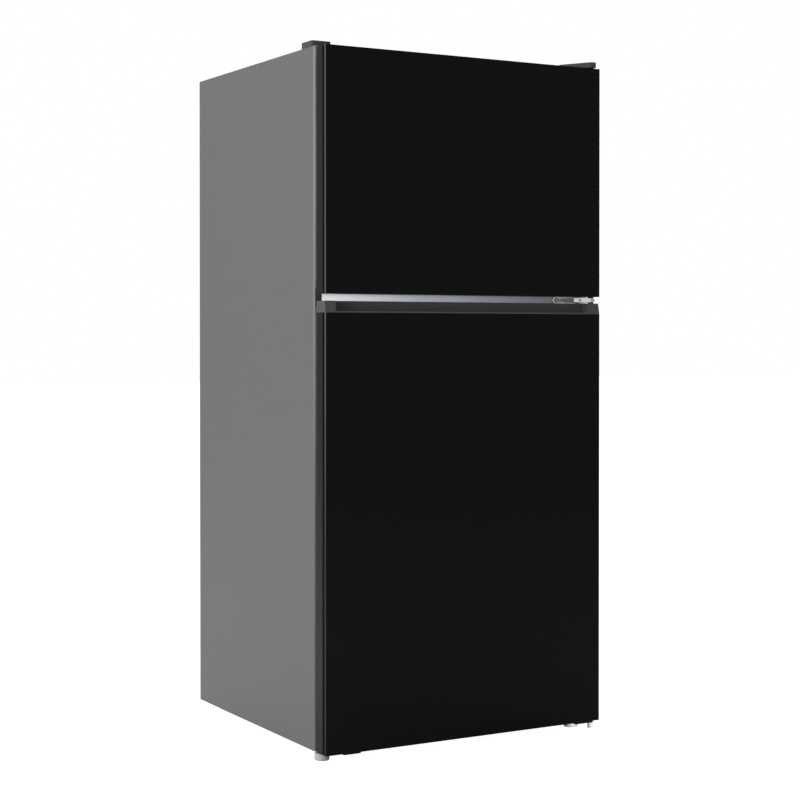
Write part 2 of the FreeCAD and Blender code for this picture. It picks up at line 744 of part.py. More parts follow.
# steel cover with louvre slots closes the machine compartment at the back
GLAND = (as_size(250), MACHINE_TOP - 60)
slots = [
    box((x, x + 60), (BACK - OVER, BACK + OVER), (z, z + 6))
    for x in (-340, -260, -180, -100, 20, 100) for z in (70, 90, 110, 130, 150)
]
node(
    cut(
        box((-INNER, INNER), (BACK - d.sheet, BACK), (RAIL_TOP + 2, MACHINE_TOP - d.sheet * 2)),
        slots + [rod(11, 20, GLAND[0], BACK - 10, GLAND[1], "Y")],
    ),
    "machine_cover",
)
node(
    cut(
        join([
            rod(11, 4, GLAND[0], BACK - 4, GLAND[1], "Y"),
            rod(14, 3, GLAND[0], BACK - 4, GLAND[1], "Y"),
        ]),
        [rod(4, 30, GLAND[0], BACK - 20, GLAND[1], "Y")],
    ),
    "cord_gland",
)

# ---------------------------------------------------------------- freezer inside
FZ_IN = FREEZER_HALF - d.liner_thick
EV_FAN_Z = FREEZER_HIGH - 95
vents = [
    box((x, x + 44), (EVAP_FACE - OVER, EVAP_FACE + OVER), (z, z + 7))
    for x in (-280, -220, 176, 236) for z in (FREEZER_LOW + 40, FREEZER_LOW + 60, FREEZER_LOW + 80)
]
node(
    cut(
        box((-FZ_IN, FZ_IN), (EVAP_FACE, EVAP_FACE + d.cover_wall),
            (FREEZER_LOW + d.liner_thick, FREEZER_HIGH - d.liner_thick)),
        vents + [
            cut(
                rod(d.fan_radius + 4, 20, 0, EVAP_FACE - 10, EV_FAN_Z, "Y"),
                [box((-80, 80), (EVAP_FACE - 12, EVAP_FACE + 12), (EV_FAN_Z + z, EV_FAN_Z + z + 3))
                 for z in range(-48, 50, 12)]
                + [rod(20, 24, 0, EVAP_FACE - 12, EV_FAN_Z, "Y")],
            ),
        ],
    ),
    "evaporator_cover",
)
coil_fins = [
    box((x, x + 1), (EVAP_FACE + 22, CAVITY_BACK - 10), (FREEZER_LOW + 40, FREEZER_LOW + 230))
    for x in range(-240, 241, 20)
]
coil_tubes = [
    rod(4, 500, -250, y, FREEZER_LOW + z, "X")
    for y in (EVAP_FACE + 34, CAVITY_BACK - 24) for z in (60, 100, 140, 180, 210)
]
coil_ends = [
    box((x, x + 4), (EVAP_FACE + 16, CAVITY_BACK - d.liner_thick),
        (FREEZER_LOW + 30, FREEZER_LOW + 240))
    for x in (-248, 244)
]
node(join(coil_fins + coil_tubes + coil_ends), "evaporator")
node(
    join([
        rod(d.shaft_radius, 30, 0, EVAP_FACE + 12, EV_FAN_Z, "Y"),
        rod(21, 26, 0, EVAP_FACE + 38, EV_FAN_Z, "Y"),
        box((-60, 60), (EVAP_FACE + 60, CAVITY_BACK - d.liner_thick), (EV_FAN_Z - 8, EV_FAN_Z + 8)),
    ]),
    "evaporator_fan_motor",
)
evap_blades = fan_blades("evaporator_blades", d.fan_radius - 4)
evap_blades.Placement = FreeCAD.Placement(
    FreeCAD.Vector(), FreeCAD.Rotation(FreeCAD.Vector(1, 0, 0), -90)
)
place(evap_blades, 0, EVAP_FACE + 15, EV_FAN_Z)
node(evap_blades, "evaporator_fan_blade")


def framed_shelf(half, low, back, name):
    """A glass plate held in a moulded rim; the rim rests on the liner's ledges."""
    rim, half_in = d.shelf_rim, half - d.liner_thick - d.shelf_side_gap
    low = as_size(low)
    middle = low + (d.shelf_height - d.shelf_glass) / 2
    plate = box((-half_in + rim / 2, half_in - rim / 2), (SHELF_FRONT + rim / 2, back - rim / 2),
                (middle, middle + d.shelf_glass))
    rim_body = cut(
        box((-half_in, half_in), (SHELF_FRONT, back), (low, low + d.shelf_height)),
        [box((-half_in + rim, half_in - rim), (SHELF_FRONT + rim, back - rim),
             (low - OVER, low + d.shelf_height + OVER)),
         box((-half_in + rim / 2, half_in - rim / 2), (SHELF_FRONT + rim / 2, back - rim / 2),
             (middle, middle + d.shelf_glass))],
        name,
    )
    return plate, rim_body


FRIDGE_BACK = CAVITY_BACK - d.liner_thick - 0.5
shelves = [
    framed_shelf(FRIDGE_HALF, low, FRIDGE_BACK, "shelf")
    for low in (d.shelf_low, d.shelf_high)
]
node(group([plate for plate, _ in shelves]), "shelf_glass")
node(group([rim for _, rim in shelves]), "shelf_frames")
cover_glass, cover_frame = framed_shelf(
    FRIDGE_HALF, d.crisper_cover_low, FRIDGE_BACK, "crisper_cover")
node(cover_glass, "crisper_cover_glass")
node(cover_frame, "crisper_cover_frame")
freezer_glass, freezer_rim = framed_shelf(
    FREEZER_HALF, d.freezer_shelf_low, EVAP_FACE - 6, "freezer_shelf")
node(freezer_glass, "freezer_shelf_glass")
node(freezer_rim, "freezer_shelf_frame")


def crisper(side, label):
    """An open drawer with a thicker front that has a finger lip along its top."""
    wall, gap = d.crisper_wall, d.crisper_side_gap
    low = FRIDGE_LOW + d.liner_thick + d.crisper_floor_gap
    outer = FRIDGE_HALF - d.liner_thick - gap - 2
    span = sorted((outer * side, gap * side), key=lambda size: size.value)
    back = SHELF_FRONT + d.crisper_depth
    tub = cut(
        box(tuple(span), (SHELF_FRONT, back), (low, low + d.crisper_height)),
        [box((span[0] + wall, span[1] - wall), (SHELF_FRONT + wall * 3, back - wall),
             (low + wall, low + d.crisper_height + OVER)),
         box((span[0] + 24, span[1] - 24), (SHELF_FRONT - OVER, SHELF_FRONT + wall * 2),
             (low + d.crisper_height - 34, low + d.crisper_height - 8))],
    )
    return node(tub, label)


crisper(-1, "crisper_left")
crisper(1, "crisper_right")

# control housing under the ceiling, with a lamp cover and the temperature knob
CONTROL_LOW = FRIDGE_HIGH - d.liner_thick - d.control_height
CONTROL_FRONT = as_size(-70)
KNOB_Z = CONTROL_LOW + d.control_height / 2
LAMP = ((-110, -10), (CONTROL_FRONT + 30, CONTROL_FRONT + 90))
housing = box(
    (-d.control_half_width, d.control_half_width),
    (CONTROL_FRONT, CONTROL_FRONT + d.control_depth),
    (CONTROL_LOW, FRIDGE_HIGH - d.liner_thick),
)
KNOB_X = as_size(70)
node(
    cut(housing, [
        box((-127, 127), (CONTROL_FRONT + 14, CONTROL_FRONT + 117), (CONTROL_LOW + 3, CONTROL_LOW + 25)),
        box(LAMP[0], LAMP[1], (CONTROL_LOW - OVER, CONTROL_LOW + OVER)),
        rod(d.shaft_radius + d.running_gap, 40, KNOB_X, CONTROL_FRONT - 10, KNOB_Z, "Y"),
    ]),
    "control_housing",
)
node(box(LAMP[0], LAMP[1], (CONTROL_LOW, CONTROL_LOW + 3)), "lamp_lens")
knob = turned([
    (0, 0), (d.shaft_radius, 0), (d.shaft_radius, 10), (d.knob_radius * 0.7, 10),
    (d.knob_radius * 0.7, 12), (d.knob_radius * 0.66, 10 + d.knob_depth), (0, 10 + d.knob_depth),
], "knob_body")
grip = sketch_on(knob, "XY_Plane", 10 + d.knob_depth)
outline(grip, [(-1, 3), (1, 3), (1, 10), (-1, 10)])
pocket(knob, grip, 1)
knob.Placement = FreeCAD.Placement(
    FreeCAD.Vector(), FreeCAD.Rotation(FreeCAD.Vector(1, 0, 0), 90)
)
place(knob, KNOB_X, CONTROL_FRONT + 10 - d.fit_gap, KNOB_Z)
node(knob, "temperature_knob")


# ---------------------------------------------------------------- doors
def rails(low, high):
    """Two mirrored side rails with a groove behind the glass edge."""
    first = FRONT + d.glass_thick
    lip = first + d.rail_lip
    back_lip = lip + d.rail_groove_width
    pieces = []
    for side in (-1, 1):
        outer, deep = HALF * side, (HALF - d.rail_groove_depth) * side
        inner = (HALF - d.rail_thick) * side
        pieces.append(
            prism([
                (inner, first), (outer, first), (outer, lip), (deep, lip), (deep, back_lip),
                (outer, back_lip), (outer, DOOR_REAR), (inner, DOOR_REAR),
            ], low, high, "rail"))
    return group(pieces)


def end_cap(end, inward, holes, pads=()):
    """A full-size flange with a plug that enters the door between its rails."""
    flange = sorted((end, end + d.cap_flange * inward), key=lambda size: size.value)
    plug = sorted(
        (end + d.cap_flange * inward, end + (d.cap_flange + d.cap_plug) * inward),
        key=lambda size: size.value,
    )
    plug_half = HALF - d.rail_thick
    start = FRONT + d.glass_thick
    solid = join([
        box((-HALF, HALF), (start, DOOR_REAR), tuple(flange)),
        box((-plug_half, plug_half), (start, DOOR_REAR - d.door_liner_thick), tuple(plug)),
    ] + list(pads))
    return cut(solid, holes)


def frame_ring(half, low, high, width, y):
    """A flat rectangular ring that faces Y."""
    return cut(
        box((-half, half), y, (low, high)),
        [box((-half + width, half - width), (as_size(y[0]) - OVER, as_size(y[1]) + OVER),
             (low + width, high - width))],
    )


def door_inside(prefix, cavity_half, low, high, cavity_low, cavity_high, foam_low, foam_high, ledges):
    """The foam core and the formed inner panel with its raised dyke and bin lugs."""
    thick = d.door_liner_thick
    half = cavity_half - d.liner_thick - d.dyke_gap
    z0 = cavity_low + d.liner_thick + d.dyke_gap
    z1 = cavity_high - d.liner_thick - d.dyke_gap
    crest = DOOR_REAR + d.dyke_height

    def core():
        wall = d.dyke_wall
        return join([
            box((-(HALF - d.rail_thick), HALF - d.rail_thick),
                (FRONT + d.glass_thick, DOOR_REAR - thick), (foam_low, foam_high)),
            frame_ring(half - wall, z0 + wall, z1 - wall, d.dyke_width - wall * 2,
                       (DOOR_REAR - thick, crest - wall)),
        ])

    lugs = []
    for ledge in ledges:
        for side in (-1, 1):
            inner = (half - d.dyke_width) * side
            span = sorted((inner, inner - d.lug_size * side), key=lambda size: size.value)
            lugs.append(
                box(tuple(span), (DOOR_REAR, DOOR_REAR + d.lug_length),
                    (as_size(ledge) - d.lug_size, ledge)))
    plate = box(
        (-(HALF - d.rail_thick), HALF - d.rail_thick), (DOOR_REAR - thick, DOOR_REAR), (low, high))
    dyke = frame_ring(half, z0, z1, d.dyke_width, (DOOR_REAR - 1, crest))
    node(core(), prefix + "_foam")
    node(cut(join([plate, dyke] + lugs), [core()]), prefix + "_liner")
    return half - d.dyke_width


def gasket(low, high, label):
    inset = d.gasket_inset
    ring_piece = frame_ring(
        HALF - inset, as_size(low) + inset, high - inset, d.gasket_width,
        (DOOR_REAR, CAB_FRONT - d.fit_gap))
    return node(ring_piece, label)


def tray(half, low, height, depth, wall):
    """An open-topped bin against the door's inner panel."""
    low = as_size(low)
    return cut(
        box((-half, half), (DOOR_REAR, DOOR_REAR + depth), (low, low + height)),
        [box((-half + wall, half - wall), (DOOR_REAR + wall, DOOR_REAR + depth - wall),
             (low + wall, low + height + OVER))],
    )


# freezer door
node(box((-HALF, HALF), (FRONT, FRONT + d.glass_thick), (FREEZER_DOOR_LOW, FREEZER_DOOR_TOP)),
     "freezer_door_glass")
node(rails(FREEZER_DOOR_LOW + d.cap_flange, FREEZER_DOOR_TOP - d.cap_flange), "freezer_door_rails")
node(
    end_cap(FREEZER_DOOR_TOP, -1, [
        pin(FREEZER_DOOR_TOP - d.pin_reach - 1, FREEZER_DOOR_TOP + OVER, PIN_BORE)]),
    "freezer_door_top_cap",
)
node(
    end_cap(FREEZER_DOOR_LOW, 1, [
        pin(FREEZER_DOOR_LOW - OVER, FREEZER_DOOR_LOW + d.pin_reach + 1, PIN_BORE),
        box((-HALF + 40, HALF - 60), (FRONT + 12, FRONT + 30),
            (FREEZER_DOOR_LOW - OVER, FREEZER_DOOR_LOW + d.underside_pocket)),
    ]),
    "freezer_door_bottom_cap",
)
cap_total = d.cap_flange + d.cap_plug
freezer_bins = [d.freezer_bin_low, d.freezer_bin_high]
inside_half = door_inside(
    "freezer_door", FREEZER_HALF, FREEZER_DOOR_LOW + d.cap_flange, FREEZER_DOOR_TOP - d.cap_flange,
    FREEZER_LOW, FREEZER_HIGH, FREEZER_DOOR_LOW + cap_total, FREEZER_DOOR_TOP - cap_total, freezer_bins)
gasket(FREEZER_DOOR_LOW, FREEZER_DOOR_TOP, "freezer_door_gasket")
node(
    group([tray(inside_half - d.bin_side_gap, z, d.freezer_bin_height, d.bin_depth, d.bin_wall)
           for z in freezer_bins]),
    "freezer_door_bins",
)

# fresh food door
node(box((-HALF, HALF), (FRONT, FRONT + d.glass_thick), (BASE, FRIDGE_GLASS_TOP)), "fridge_door_glass")
node(rails(BASE + d.cap_flange, FRIDGE_GLASS_TOP), "fridge_door_rails")
node(
    end_cap(
        BASE, 1, [pin(BASE - OVER, BASE + d.pin_reach + 1, PIN_BORE)],
        [bar([
            (FRONT + 5, BASE + 1), (FRONT + 5, BASE - d.cap_pad), (FRONT + 38, BASE - d.cap_pad),
            (FRONT + 38, BASE + 1),
        ], -HALF + 49, -HALF + 92, "cap_pad")]),
    "fridge_door_bottom_cap",
)
sloped = bar([
    (FRONT, FRIDGE_GLASS_TOP), (DOOR_REAR, FRIDGE_GLASS_TOP), (DOOR_REAR, FRIDGE_DOOR_TOP),
    (FRONT + d.handle_slope, FRIDGE_DOOR_TOP),
], -HALF, HALF, "handle_cap_profile")
handle_plug = box(
    (-(HALF - d.rail_thick), HALF - d.rail_thick),
    (FRONT + d.glass_thick, DOOR_REAR - d.door_liner_thick),
    (FRIDGE_GLASS_TOP - d.cap_plug, FRIDGE_GLASS_TOP),
)
CHANNEL_X = (-HALF + d.handle_end_left, HALF - d.handle_end_right)
CHANNEL_BACK = FRONT + d.handle_reach
node(
    cut(join([sloped, handle_plug]), [
        box(CHANNEL_X, (FRONT - OVER, CHANNEL_BACK),
            (FRIDGE_GLASS_TOP + d.handle_lip, FRIDGE_DOOR_TOP + OVER)),
        box(CHANNEL_X, (FRONT + d.handle_lip_thick, CHANNEL_BACK),
            (FRIDGE_GLASS_TOP - d.handle_trough, FRIDGE_DOOR_TOP)),
        pin(FRIDGE_DOOR_TOP - d.pin_reach - 1, FRIDGE_DOOR_TOP + OVER, PIN_BORE),
    ]),
    "fridge_door_handle_cap",
)
fridge_bins = [d.fridge_bin_low, d.fridge_bin_mid, d.fridge_bin_high]
inside_half = door_inside(
    "fridge_door", FRIDGE_HALF, BASE + d.cap_flange, FRIDGE_GLASS_TOP, FRIDGE_LOW, FRIDGE_HIGH,
    BASE + cap_total, FRIDGE_GLASS_TOP - d.cap_plug, fridge_bins)
gasket(BASE, FRIDGE_DOOR_TOP, "fridge_door_gasket")
DAIRY_PIVOT = (DOOR_REAR + 20, d.dairy_low + d.dairy_pivot_up)
dairy = cut(
    tray(d.dairy_half_width, d.dairy_low, d.dairy_pivot_up + 8, d.bin_depth - 8, d.bin_wall),
    [box((-d.dairy_half_width + d.bin_wall, d.dairy_half_width - d.bin_wall),
         (DOOR_REAR + d.bin_wall + 1, DOOR_REAR + d.bin_depth), (d.dairy_low + 22, d.dairy_low + 200)),
     box((-d.dairy_half_width - OVER, d.dairy_half_width + OVER),
         (DOOR_REAR + 40, DOOR_REAR + d.bin_depth), (d.dairy_low + 40, d.dairy_low + 200)),
     rod(d.shaft_radius + d.running_gap, d.dairy_half_width * 2 + 20, -d.dairy_half_width - 10,
         DAIRY_PIVOT[0], DAIRY_PIVOT[1], "X")],
)
node(
    group([tray(inside_half - d.bin_side_gap, z, d.fridge_bin_height, d.bin_depth, d.bin_wall)
           for z in fridge_bins]
          + [dairy]),
    "fridge_door_bins",
)
flap_half = d.dairy_half_width - d.bin_wall - 1
flap_y, flap_z = DAIRY_PIVOT
flap_front = DOOR_REAR + d.bin_depth + 2
flap = bar([
    (flap_y - 4, flap_z - 4), (flap_y + 4, flap_z - 4), (flap_front - 12, flap_z + 2),
    (flap_front - 2, flap_z - 8), (flap_front - 2, flap_z - 50), (flap_front, flap_z - 50),
    (flap_front, flap_z - 7), (flap_front - 11, flap_z + 4.5), (flap_y - 4, flap_z + 4),
], -flap_half, flap_half, "flap_profile")
node(
    join([flap, rod(d.shaft_radius, (flap_half + 3) * 2, -(flap_half + 3), flap_y, flap_z, "X")]),
    "dairy_flap",
)

# ---------------------------------------------------------------- check and write
doc.recompute()
broken = [obj.Label for obj in doc.Objects if "Invalid" in obj.State or "Error" in obj.State]
if broken:
    raise RuntimeError(f"objects that did not build: {broken}")
labels = [obj.Label for obj in NODES]
if len(labels) != len(set(labels)) or len(labels) > 60:
    raise RuntimeError("sub-part names must be unique, and no more than 60")
for obj in NODES:
    if obj.Shape.isNull() or not obj.Shape.isValid() or obj.Shape.Volume < 1:
        raise RuntimeError(f"{obj.Label}: the shape is not a valid solid")

os.makedirs("parts", exist_ok=True)
for obj in NODES:
    obj.Shape.exportStep(os.path.join("parts", obj.Label + ".step"))
    print(f"{obj.Label}: {len(obj.Shape.Solids)} solid(s), {obj.Shape.Volume / 1000:.1f} cm3")
print(f"{len(NODES)} sub-parts")
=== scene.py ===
# %% [markdown]
# # A top freezer refrigerator
# This notebook dresses a finished engineering model of a refrigerator: a freezer above,
# a fresh food compartment below, two black glass doors and grey painted steel sides.
# The engineering model arrives as a fixed frame in metres. +Z is up, the doors face -Y
# and the floor is Z = 0. We may give its pieces materials and modifiers, or stand better
# looking pieces in their place, but we never move them.

# %% Load the frame
import math

import bmesh
import bpy
from mathutils import Matrix, Vector


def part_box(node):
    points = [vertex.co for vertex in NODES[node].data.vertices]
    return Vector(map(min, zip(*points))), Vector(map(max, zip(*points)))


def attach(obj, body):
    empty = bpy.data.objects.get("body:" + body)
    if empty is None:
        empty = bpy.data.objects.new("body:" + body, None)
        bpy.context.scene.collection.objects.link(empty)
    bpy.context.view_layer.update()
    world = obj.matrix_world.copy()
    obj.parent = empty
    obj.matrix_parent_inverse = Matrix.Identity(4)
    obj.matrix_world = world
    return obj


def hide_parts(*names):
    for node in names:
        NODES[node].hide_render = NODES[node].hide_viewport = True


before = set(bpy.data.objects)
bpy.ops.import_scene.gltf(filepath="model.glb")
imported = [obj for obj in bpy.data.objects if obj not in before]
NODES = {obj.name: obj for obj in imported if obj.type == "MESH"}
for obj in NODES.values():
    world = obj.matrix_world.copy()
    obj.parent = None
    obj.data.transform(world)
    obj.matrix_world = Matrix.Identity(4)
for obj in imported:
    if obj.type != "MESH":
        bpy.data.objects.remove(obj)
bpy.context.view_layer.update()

# %% [markdown]
# ## Camera
# A long lens seen from a little above the middle of the object keeps the tall box from
# looking like a funnel. Tilting the camera makes upright edges lean, so for product
# pictures the lens is slid instead. We do both, a little of each.

# %% Camera
TURN = math.radians(29.71)
TILT = math.radians(0.57)
camera_data = bpy.data.cameras.new("camera")
camera_data.lens = 78.6
camera_data.sensor_width = 36
camera_data.shift_y = -0.0594
camera = bpy.data.objects.new("camera", camera_data)
camera.location = (-2.1754, -3.8426, 0.9750)
gaze = Vector((math.sin(TURN) * math.cos(TILT), math.cos(TURN) * math.cos(TILT), -math.sin(TILT)))
camera.rotation_euler = gaze.to_track_quat("-Z", "Y").to_euler()
bpy.context.collection.objects.link(camera)
bpy.context.scene.camera = camera
print("camera at", [round(v, 3) for v in camera.location])

# %% [markdown]
# ## Studio
# The picture is a plain product shot: a white surround, a broad soft light from the left
# and little light on the doors, which is why the side looks far brighter than the front.
# A large area light gives soft edges. The surround is white to the camera, and dimmer as
# a source of light, as in a studio whose backdrop is lit but far away.

# %% Studio
scene = bpy.context.scene
scene.view_settings.view_transform = "Standard"
world = bpy.data.worlds.new("surround")
scene.world = world
world.use_nodes = True
surround = world.node_tree
surround.nodes.clear()
world_out = surround.nodes.new("ShaderNodeOutputWorld")
seen = surround.nodes.new("ShaderNodeBackground")
seen.inputs["Color"].default_value = (1, 1, 1, 1)
fill = surround.nodes.new("ShaderNodeBackground")
fill.inputs["Color"].default_value = (1, 1, 1, 1)
fill.inputs["Strength"].default_value = 0.30
choose = surround.nodes.new("ShaderNodeMixShader")
rays = surround.nodes.new("ShaderNodeLightPath")
surround.links.new(rays.outputs["Is Camera Ray"], choose.inputs[0])
surround.links.new(fill.outputs[0], choose.inputs[1])
surround.links.new(seen.outputs[0], choose.inputs[2])
surround.links.new(choose.outputs[0], world_out.inputs[0])


def soft_light(name, place, target, size, watts):
    """A square area light that faces a point."""
    data = bpy.data.lights.new(name, "AREA")
    data.shape = "RECTANGLE"
    data.size, data.size_y = size
    data.energy = watts
    lamp = bpy.data.objects.new(name, data)
    lamp.location = place
    lamp.rotation_euler = (Vector(target) - Vector(place)).to_track_quat("-Z", "Y").to_euler()
    bpy.context.collection.objects.link(lamp)
    return lamp


soft_light("key_left", (-4.2, -0.5, 1.9), (0, 0.0, 0.9), (3.0, 3.0), 76)
soft_light("overhead", (0, 2.4, 4.2), (0, 0.4, 0), (4.0, 4.0), 90)

# %% [markdown]
# ## Finishes
# Every finish is a Principled shader with a little procedural texture. The texture reads
# Object coordinates, which are metres here, so a scale of 1000 makes features about a
# millimetre across. Colour that is the same everywhere goes straight into the shader's
# socket, and only what varies is linked.

# %% A finish and its grain
SHADER_SOCKETS = {"rough": "Roughness", "metal": "Metallic", "specular": "Specular IOR Level",
                  "coat": "Coat Weight", "alpha": "Alpha", "glow": "Emission Strength",
                  "through": "Transmission Weight"}


def finish(name, colour, **values):
    """A new material with its shader's own sockets set."""
    material = bpy.data.materials.new(name)
    material.use_nodes = True
    shader = material.node_tree.nodes["Principled BSDF"]
    shader.inputs["Base Color"].default_value = (*colour, 1)
    for key, value in values.items():
        shader.inputs[SHADER_SOCKETS[key]].default_value = value
    return material


INPUT_WORDS = {"scale", "detail", "roughness", "strength", "distance", "height", "vector",
               "location"}


def put(material, socket, value):
    """Links a socket to another one, or sets its plain value."""
    if isinstance(value, bpy.types.NodeSocket):
        material.node_tree.links.new(value, socket)
    else:
        socket.default_value = value


def add(material, kind, **inputs):
    """A node with some of its inputs set or linked."""
    node = material.node_tree.nodes.new(kind)
    for key, value in inputs.items():
        name = key.replace("_", " ").title() if key in INPUT_WORDS else key
        put(material, node.inputs[name], value)
    return node


def grain(material, scale, depth, stretch=(1, 1, 1), strength=0.5, tone=0.0, detail=3.0):
    """Fine bumps of one size, and a slight change of tone with them."""
    tree = material.node_tree
    shader = tree.nodes["Principled BSDF"]
    here = add(material, "ShaderNodeTexCoord").outputs["Object"]
    drawn = add(material, "ShaderNodeMapping", vector=here)
    drawn.inputs["Scale"].default_value = stretch
    noise = add(material, "ShaderNodeTexNoise", vector=drawn.outputs[0], scale=scale, detail=detail)
    bump = add(material, "ShaderNodeBump", strength=strength, distance=depth,
               height=noise.outputs["Fac"])
    tree.links.new(bump.outputs[0], shader.inputs["Normal"])
    if tone:
        colour = shader.inputs["Base Color"].default_value[:3]
        ramp = add(material, "ShaderNodeValToRGB")
        tree.links.new(noise.outputs["Fac"], ramp.inputs[0])
        for stop, gain in zip(ramp.color_ramp.elements, (1 - tone, 1 + tone)):
            stop.color = (*(channel * gain for channel in colour), 1)
        ramp.color_ramp.elements[0].position = 0.3
        ramp.color_ramp.elements[1].position = 0.7
        tree.links.new(ramp.outputs[0], shader.inputs["Base Color"])
    return material


print("shader sockets in use:", sorted(SHADER_SOCKETS.values()))

# %% [markdown]
# A finish that is not the same everywhere needs a little arithmetic. These helpers each
# add one node: which way and how far a point lies, a sum, a range, a mix of two tones.

# %% Small node helpers
def shader_of(material):
    """The Principled shader of a material."""
    return material.node_tree.nodes["Principled BSDF"]


def split(material, kind):
    """Texture coordinates of one kind, taken apart into X, Y and Z."""
    place = add(material, "ShaderNodeTexCoord").outputs[kind]
    return add(material, "ShaderNodeSeparateXYZ", vector=place).outputs


def maths(material, operation, *values):
    """The result of one Math node."""
    node = add(material, "ShaderNodeMath")
    node.operation = operation
    for socket, value in zip(node.inputs, values):
        put(material, socket, value)
    return node.outputs[0]


def span(material, value, start, end, low=0.0, high=1.0):
    """A value that runs from low to high while another runs from start to end."""
    node = add(material, "ShaderNodeMapRange")
    for name, level in (("Value", value), ("From Min", start), ("From Max", end),
                        ("To Min", low), ("To Max", high)):
        put(material, node.inputs[name], level)
    return node.outputs[0]


def mix_tones(material, factor, plain, other):
    """The plain tone where the factor is 0 and the other where it is 1."""
    node = add(material, "ShaderNodeMix")
    node.data_type = "RGBA"
    for name, level in (("Factor", factor), ("A", plain), ("B", other)):
        put(material, node.inputs[name], level)
    return node.outputs["Result"]


print("node helpers ready")

# %% [markdown]
# The painted sides have a fine leather-like emboss, as pre-painted sheet often has. The
# plastics have a spark-eroded grain. Sheet metal shows its rolling direction, so its
# noise is stretched along the sheet.

# %% The finishes
side_paint = grain(finish("side_paint", (0.200, 0.200, 0.205), rough=0.48, specular=0.35),
                   1400, 0.0003, strength=0.35, tone=0.05)
# painted highlight: a narrow strip along the front fold of each side is painted paler,
# fading out lower down, where the fold catches the light
FOLD_HIGHLIGHT_TONE = (0.40, 0.40, 0.41, 1)
FOLD_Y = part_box("outer_wrapper")[0][1]
paint_colour = shader_of(side_paint).inputs["Base Color"]
plain_tone = paint_colour.links[0].from_socket
paint_place = split(side_paint, "Object")
near_fold = span(side_paint, paint_place["Y"], FOLD_Y + 0.0070, FOLD_Y + 0.0030)
# painted highlight: paler next to the fold, and only on the upper part of the side
highlight_fade_up = span(side_paint, paint_place["Z"], 0.55, 1.30)
fold_highlight_mask = maths(side_paint, "MULTIPLY", near_fold, highlight_fade_up)
put(side_paint, paint_colour, mix_tones(side_paint, fold_highlight_mask, plain_tone, FOLD_HIGHLIGHT_TONE))
cap_plastic = grain(finish("cap_plastic", (0.110, 0.110, 0.115), rough=0.50, specular=0.25),
                    2200, 0.0002, strength=0.35, tone=0.04)
rail_plastic = grain(finish("rail_plastic", (0.012, 0.012, 0.0125), rough=0.38, specular=0.3),
                     2000, 0.0001, strength=0.25, tone=0.04)
black_steel = grain(finish("black_steel", (0.012, 0.012, 0.013), rough=0.45),
                    1500, 0.0002, tone=0.05)
zinc_plate = grain(finish("zinc_plate", (0.78, 0.79, 0.76), metal=0.6, rough=0.34),
                   900, 0.0001, strength=0.3, tone=0.06)
zinc_sheet = grain(finish("zinc_sheet", (0.48, 0.49, 0.50), metal=0.8, rough=0.45),
                   120, 0.0001, stretch=(1, 1, 0.6), strength=0.15, tone=0.10)
white_nylon = grain(finish("white_nylon", (0.80, 0.80, 0.78), rough=0.42), 1500, 0.0001, tone=0.02)
liner_white = grain(finish("liner_white", (0.90, 0.91, 0.92), rough=0.32), 260, 0.0002,
                    strength=0.2, tone=0.015)
seal_grey = grain(finish("seal_grey", (0.035, 0.035, 0.037), rough=0.7), 1200, 0.0001, tone=0.06)
clear_plastic = grain(finish("clear_plastic", (0.78, 0.84, 0.87), rough=0.12, alpha=0.42),
                      60, 0.0004, strength=0.15, tone=0.02)
frosted_plastic = grain(finish("frosted_plastic", (0.80, 0.86, 0.88), rough=0.38, alpha=0.75),
                        900, 0.0001, strength=0.2, tone=0.02)
dark_nylon = grain(finish("dark_nylon", (0.020, 0.020, 0.021), rough=0.5), 1500, 0.0001, tone=0.04)
shelf_pane = grain(finish("shelf_pane", (0.70, 0.86, 0.82), rough=0.05, alpha=0.30),
                   30, 0.0003, strength=0.05, tone=0.02)
coil_metal = grain(finish("coil_metal", (0.62, 0.63, 0.64), metal=1.0, rough=0.42),
                   800, 0.0001, tone=0.06)
foam_yellow = grain(finish("foam_yellow", (0.72, 0.62, 0.38), rough=0.9), 300, 0.0006, tone=0.12)
lamp_glow = grain(finish("lamp_glow", (0.9, 0.9, 0.88), rough=0.5, glow=14.0),
                  500, 0.0001, tone=0.01)
shader_of(lamp_glow).inputs["Emission Color"].default_value = (1, 0.96, 0.88, 1)
print("finishes made:", len(bpy.data.materials))

# %% [markdown]
# The bar between the doors is brushed metal. It lies deep in a narrow gap that is open to
# the light only at its left end, so its colour carries painted light: a painted highlight
# at its left end and painted shade that deepens to the right. Its brush strokes are a noise
# stretched thirty times along the bar.

# %% Brushed bar with painted highlight and painted shade along its length
BAR_LEFT, BAR_RIGHT = -0.34, 0.38
bright_bar = finish("bright_bar", (0.80, 0.81, 0.83), metal=0.9, rough=0.34)
along_bar = add(bright_bar, "ShaderNodeTexCoord").outputs["Object"]
brushed = add(bright_bar, "ShaderNodeMapping", vector=along_bar)
brushed.inputs["Scale"].default_value = (0.03, 1, 1)
strokes = add(bright_bar, "ShaderNodeTexNoise", vector=brushed.outputs[0], scale=900).outputs["Fac"]
wobble = maths(bright_bar, "MULTIPLY_ADD", strokes, 0.05, split(bright_bar, "Object")["X"])
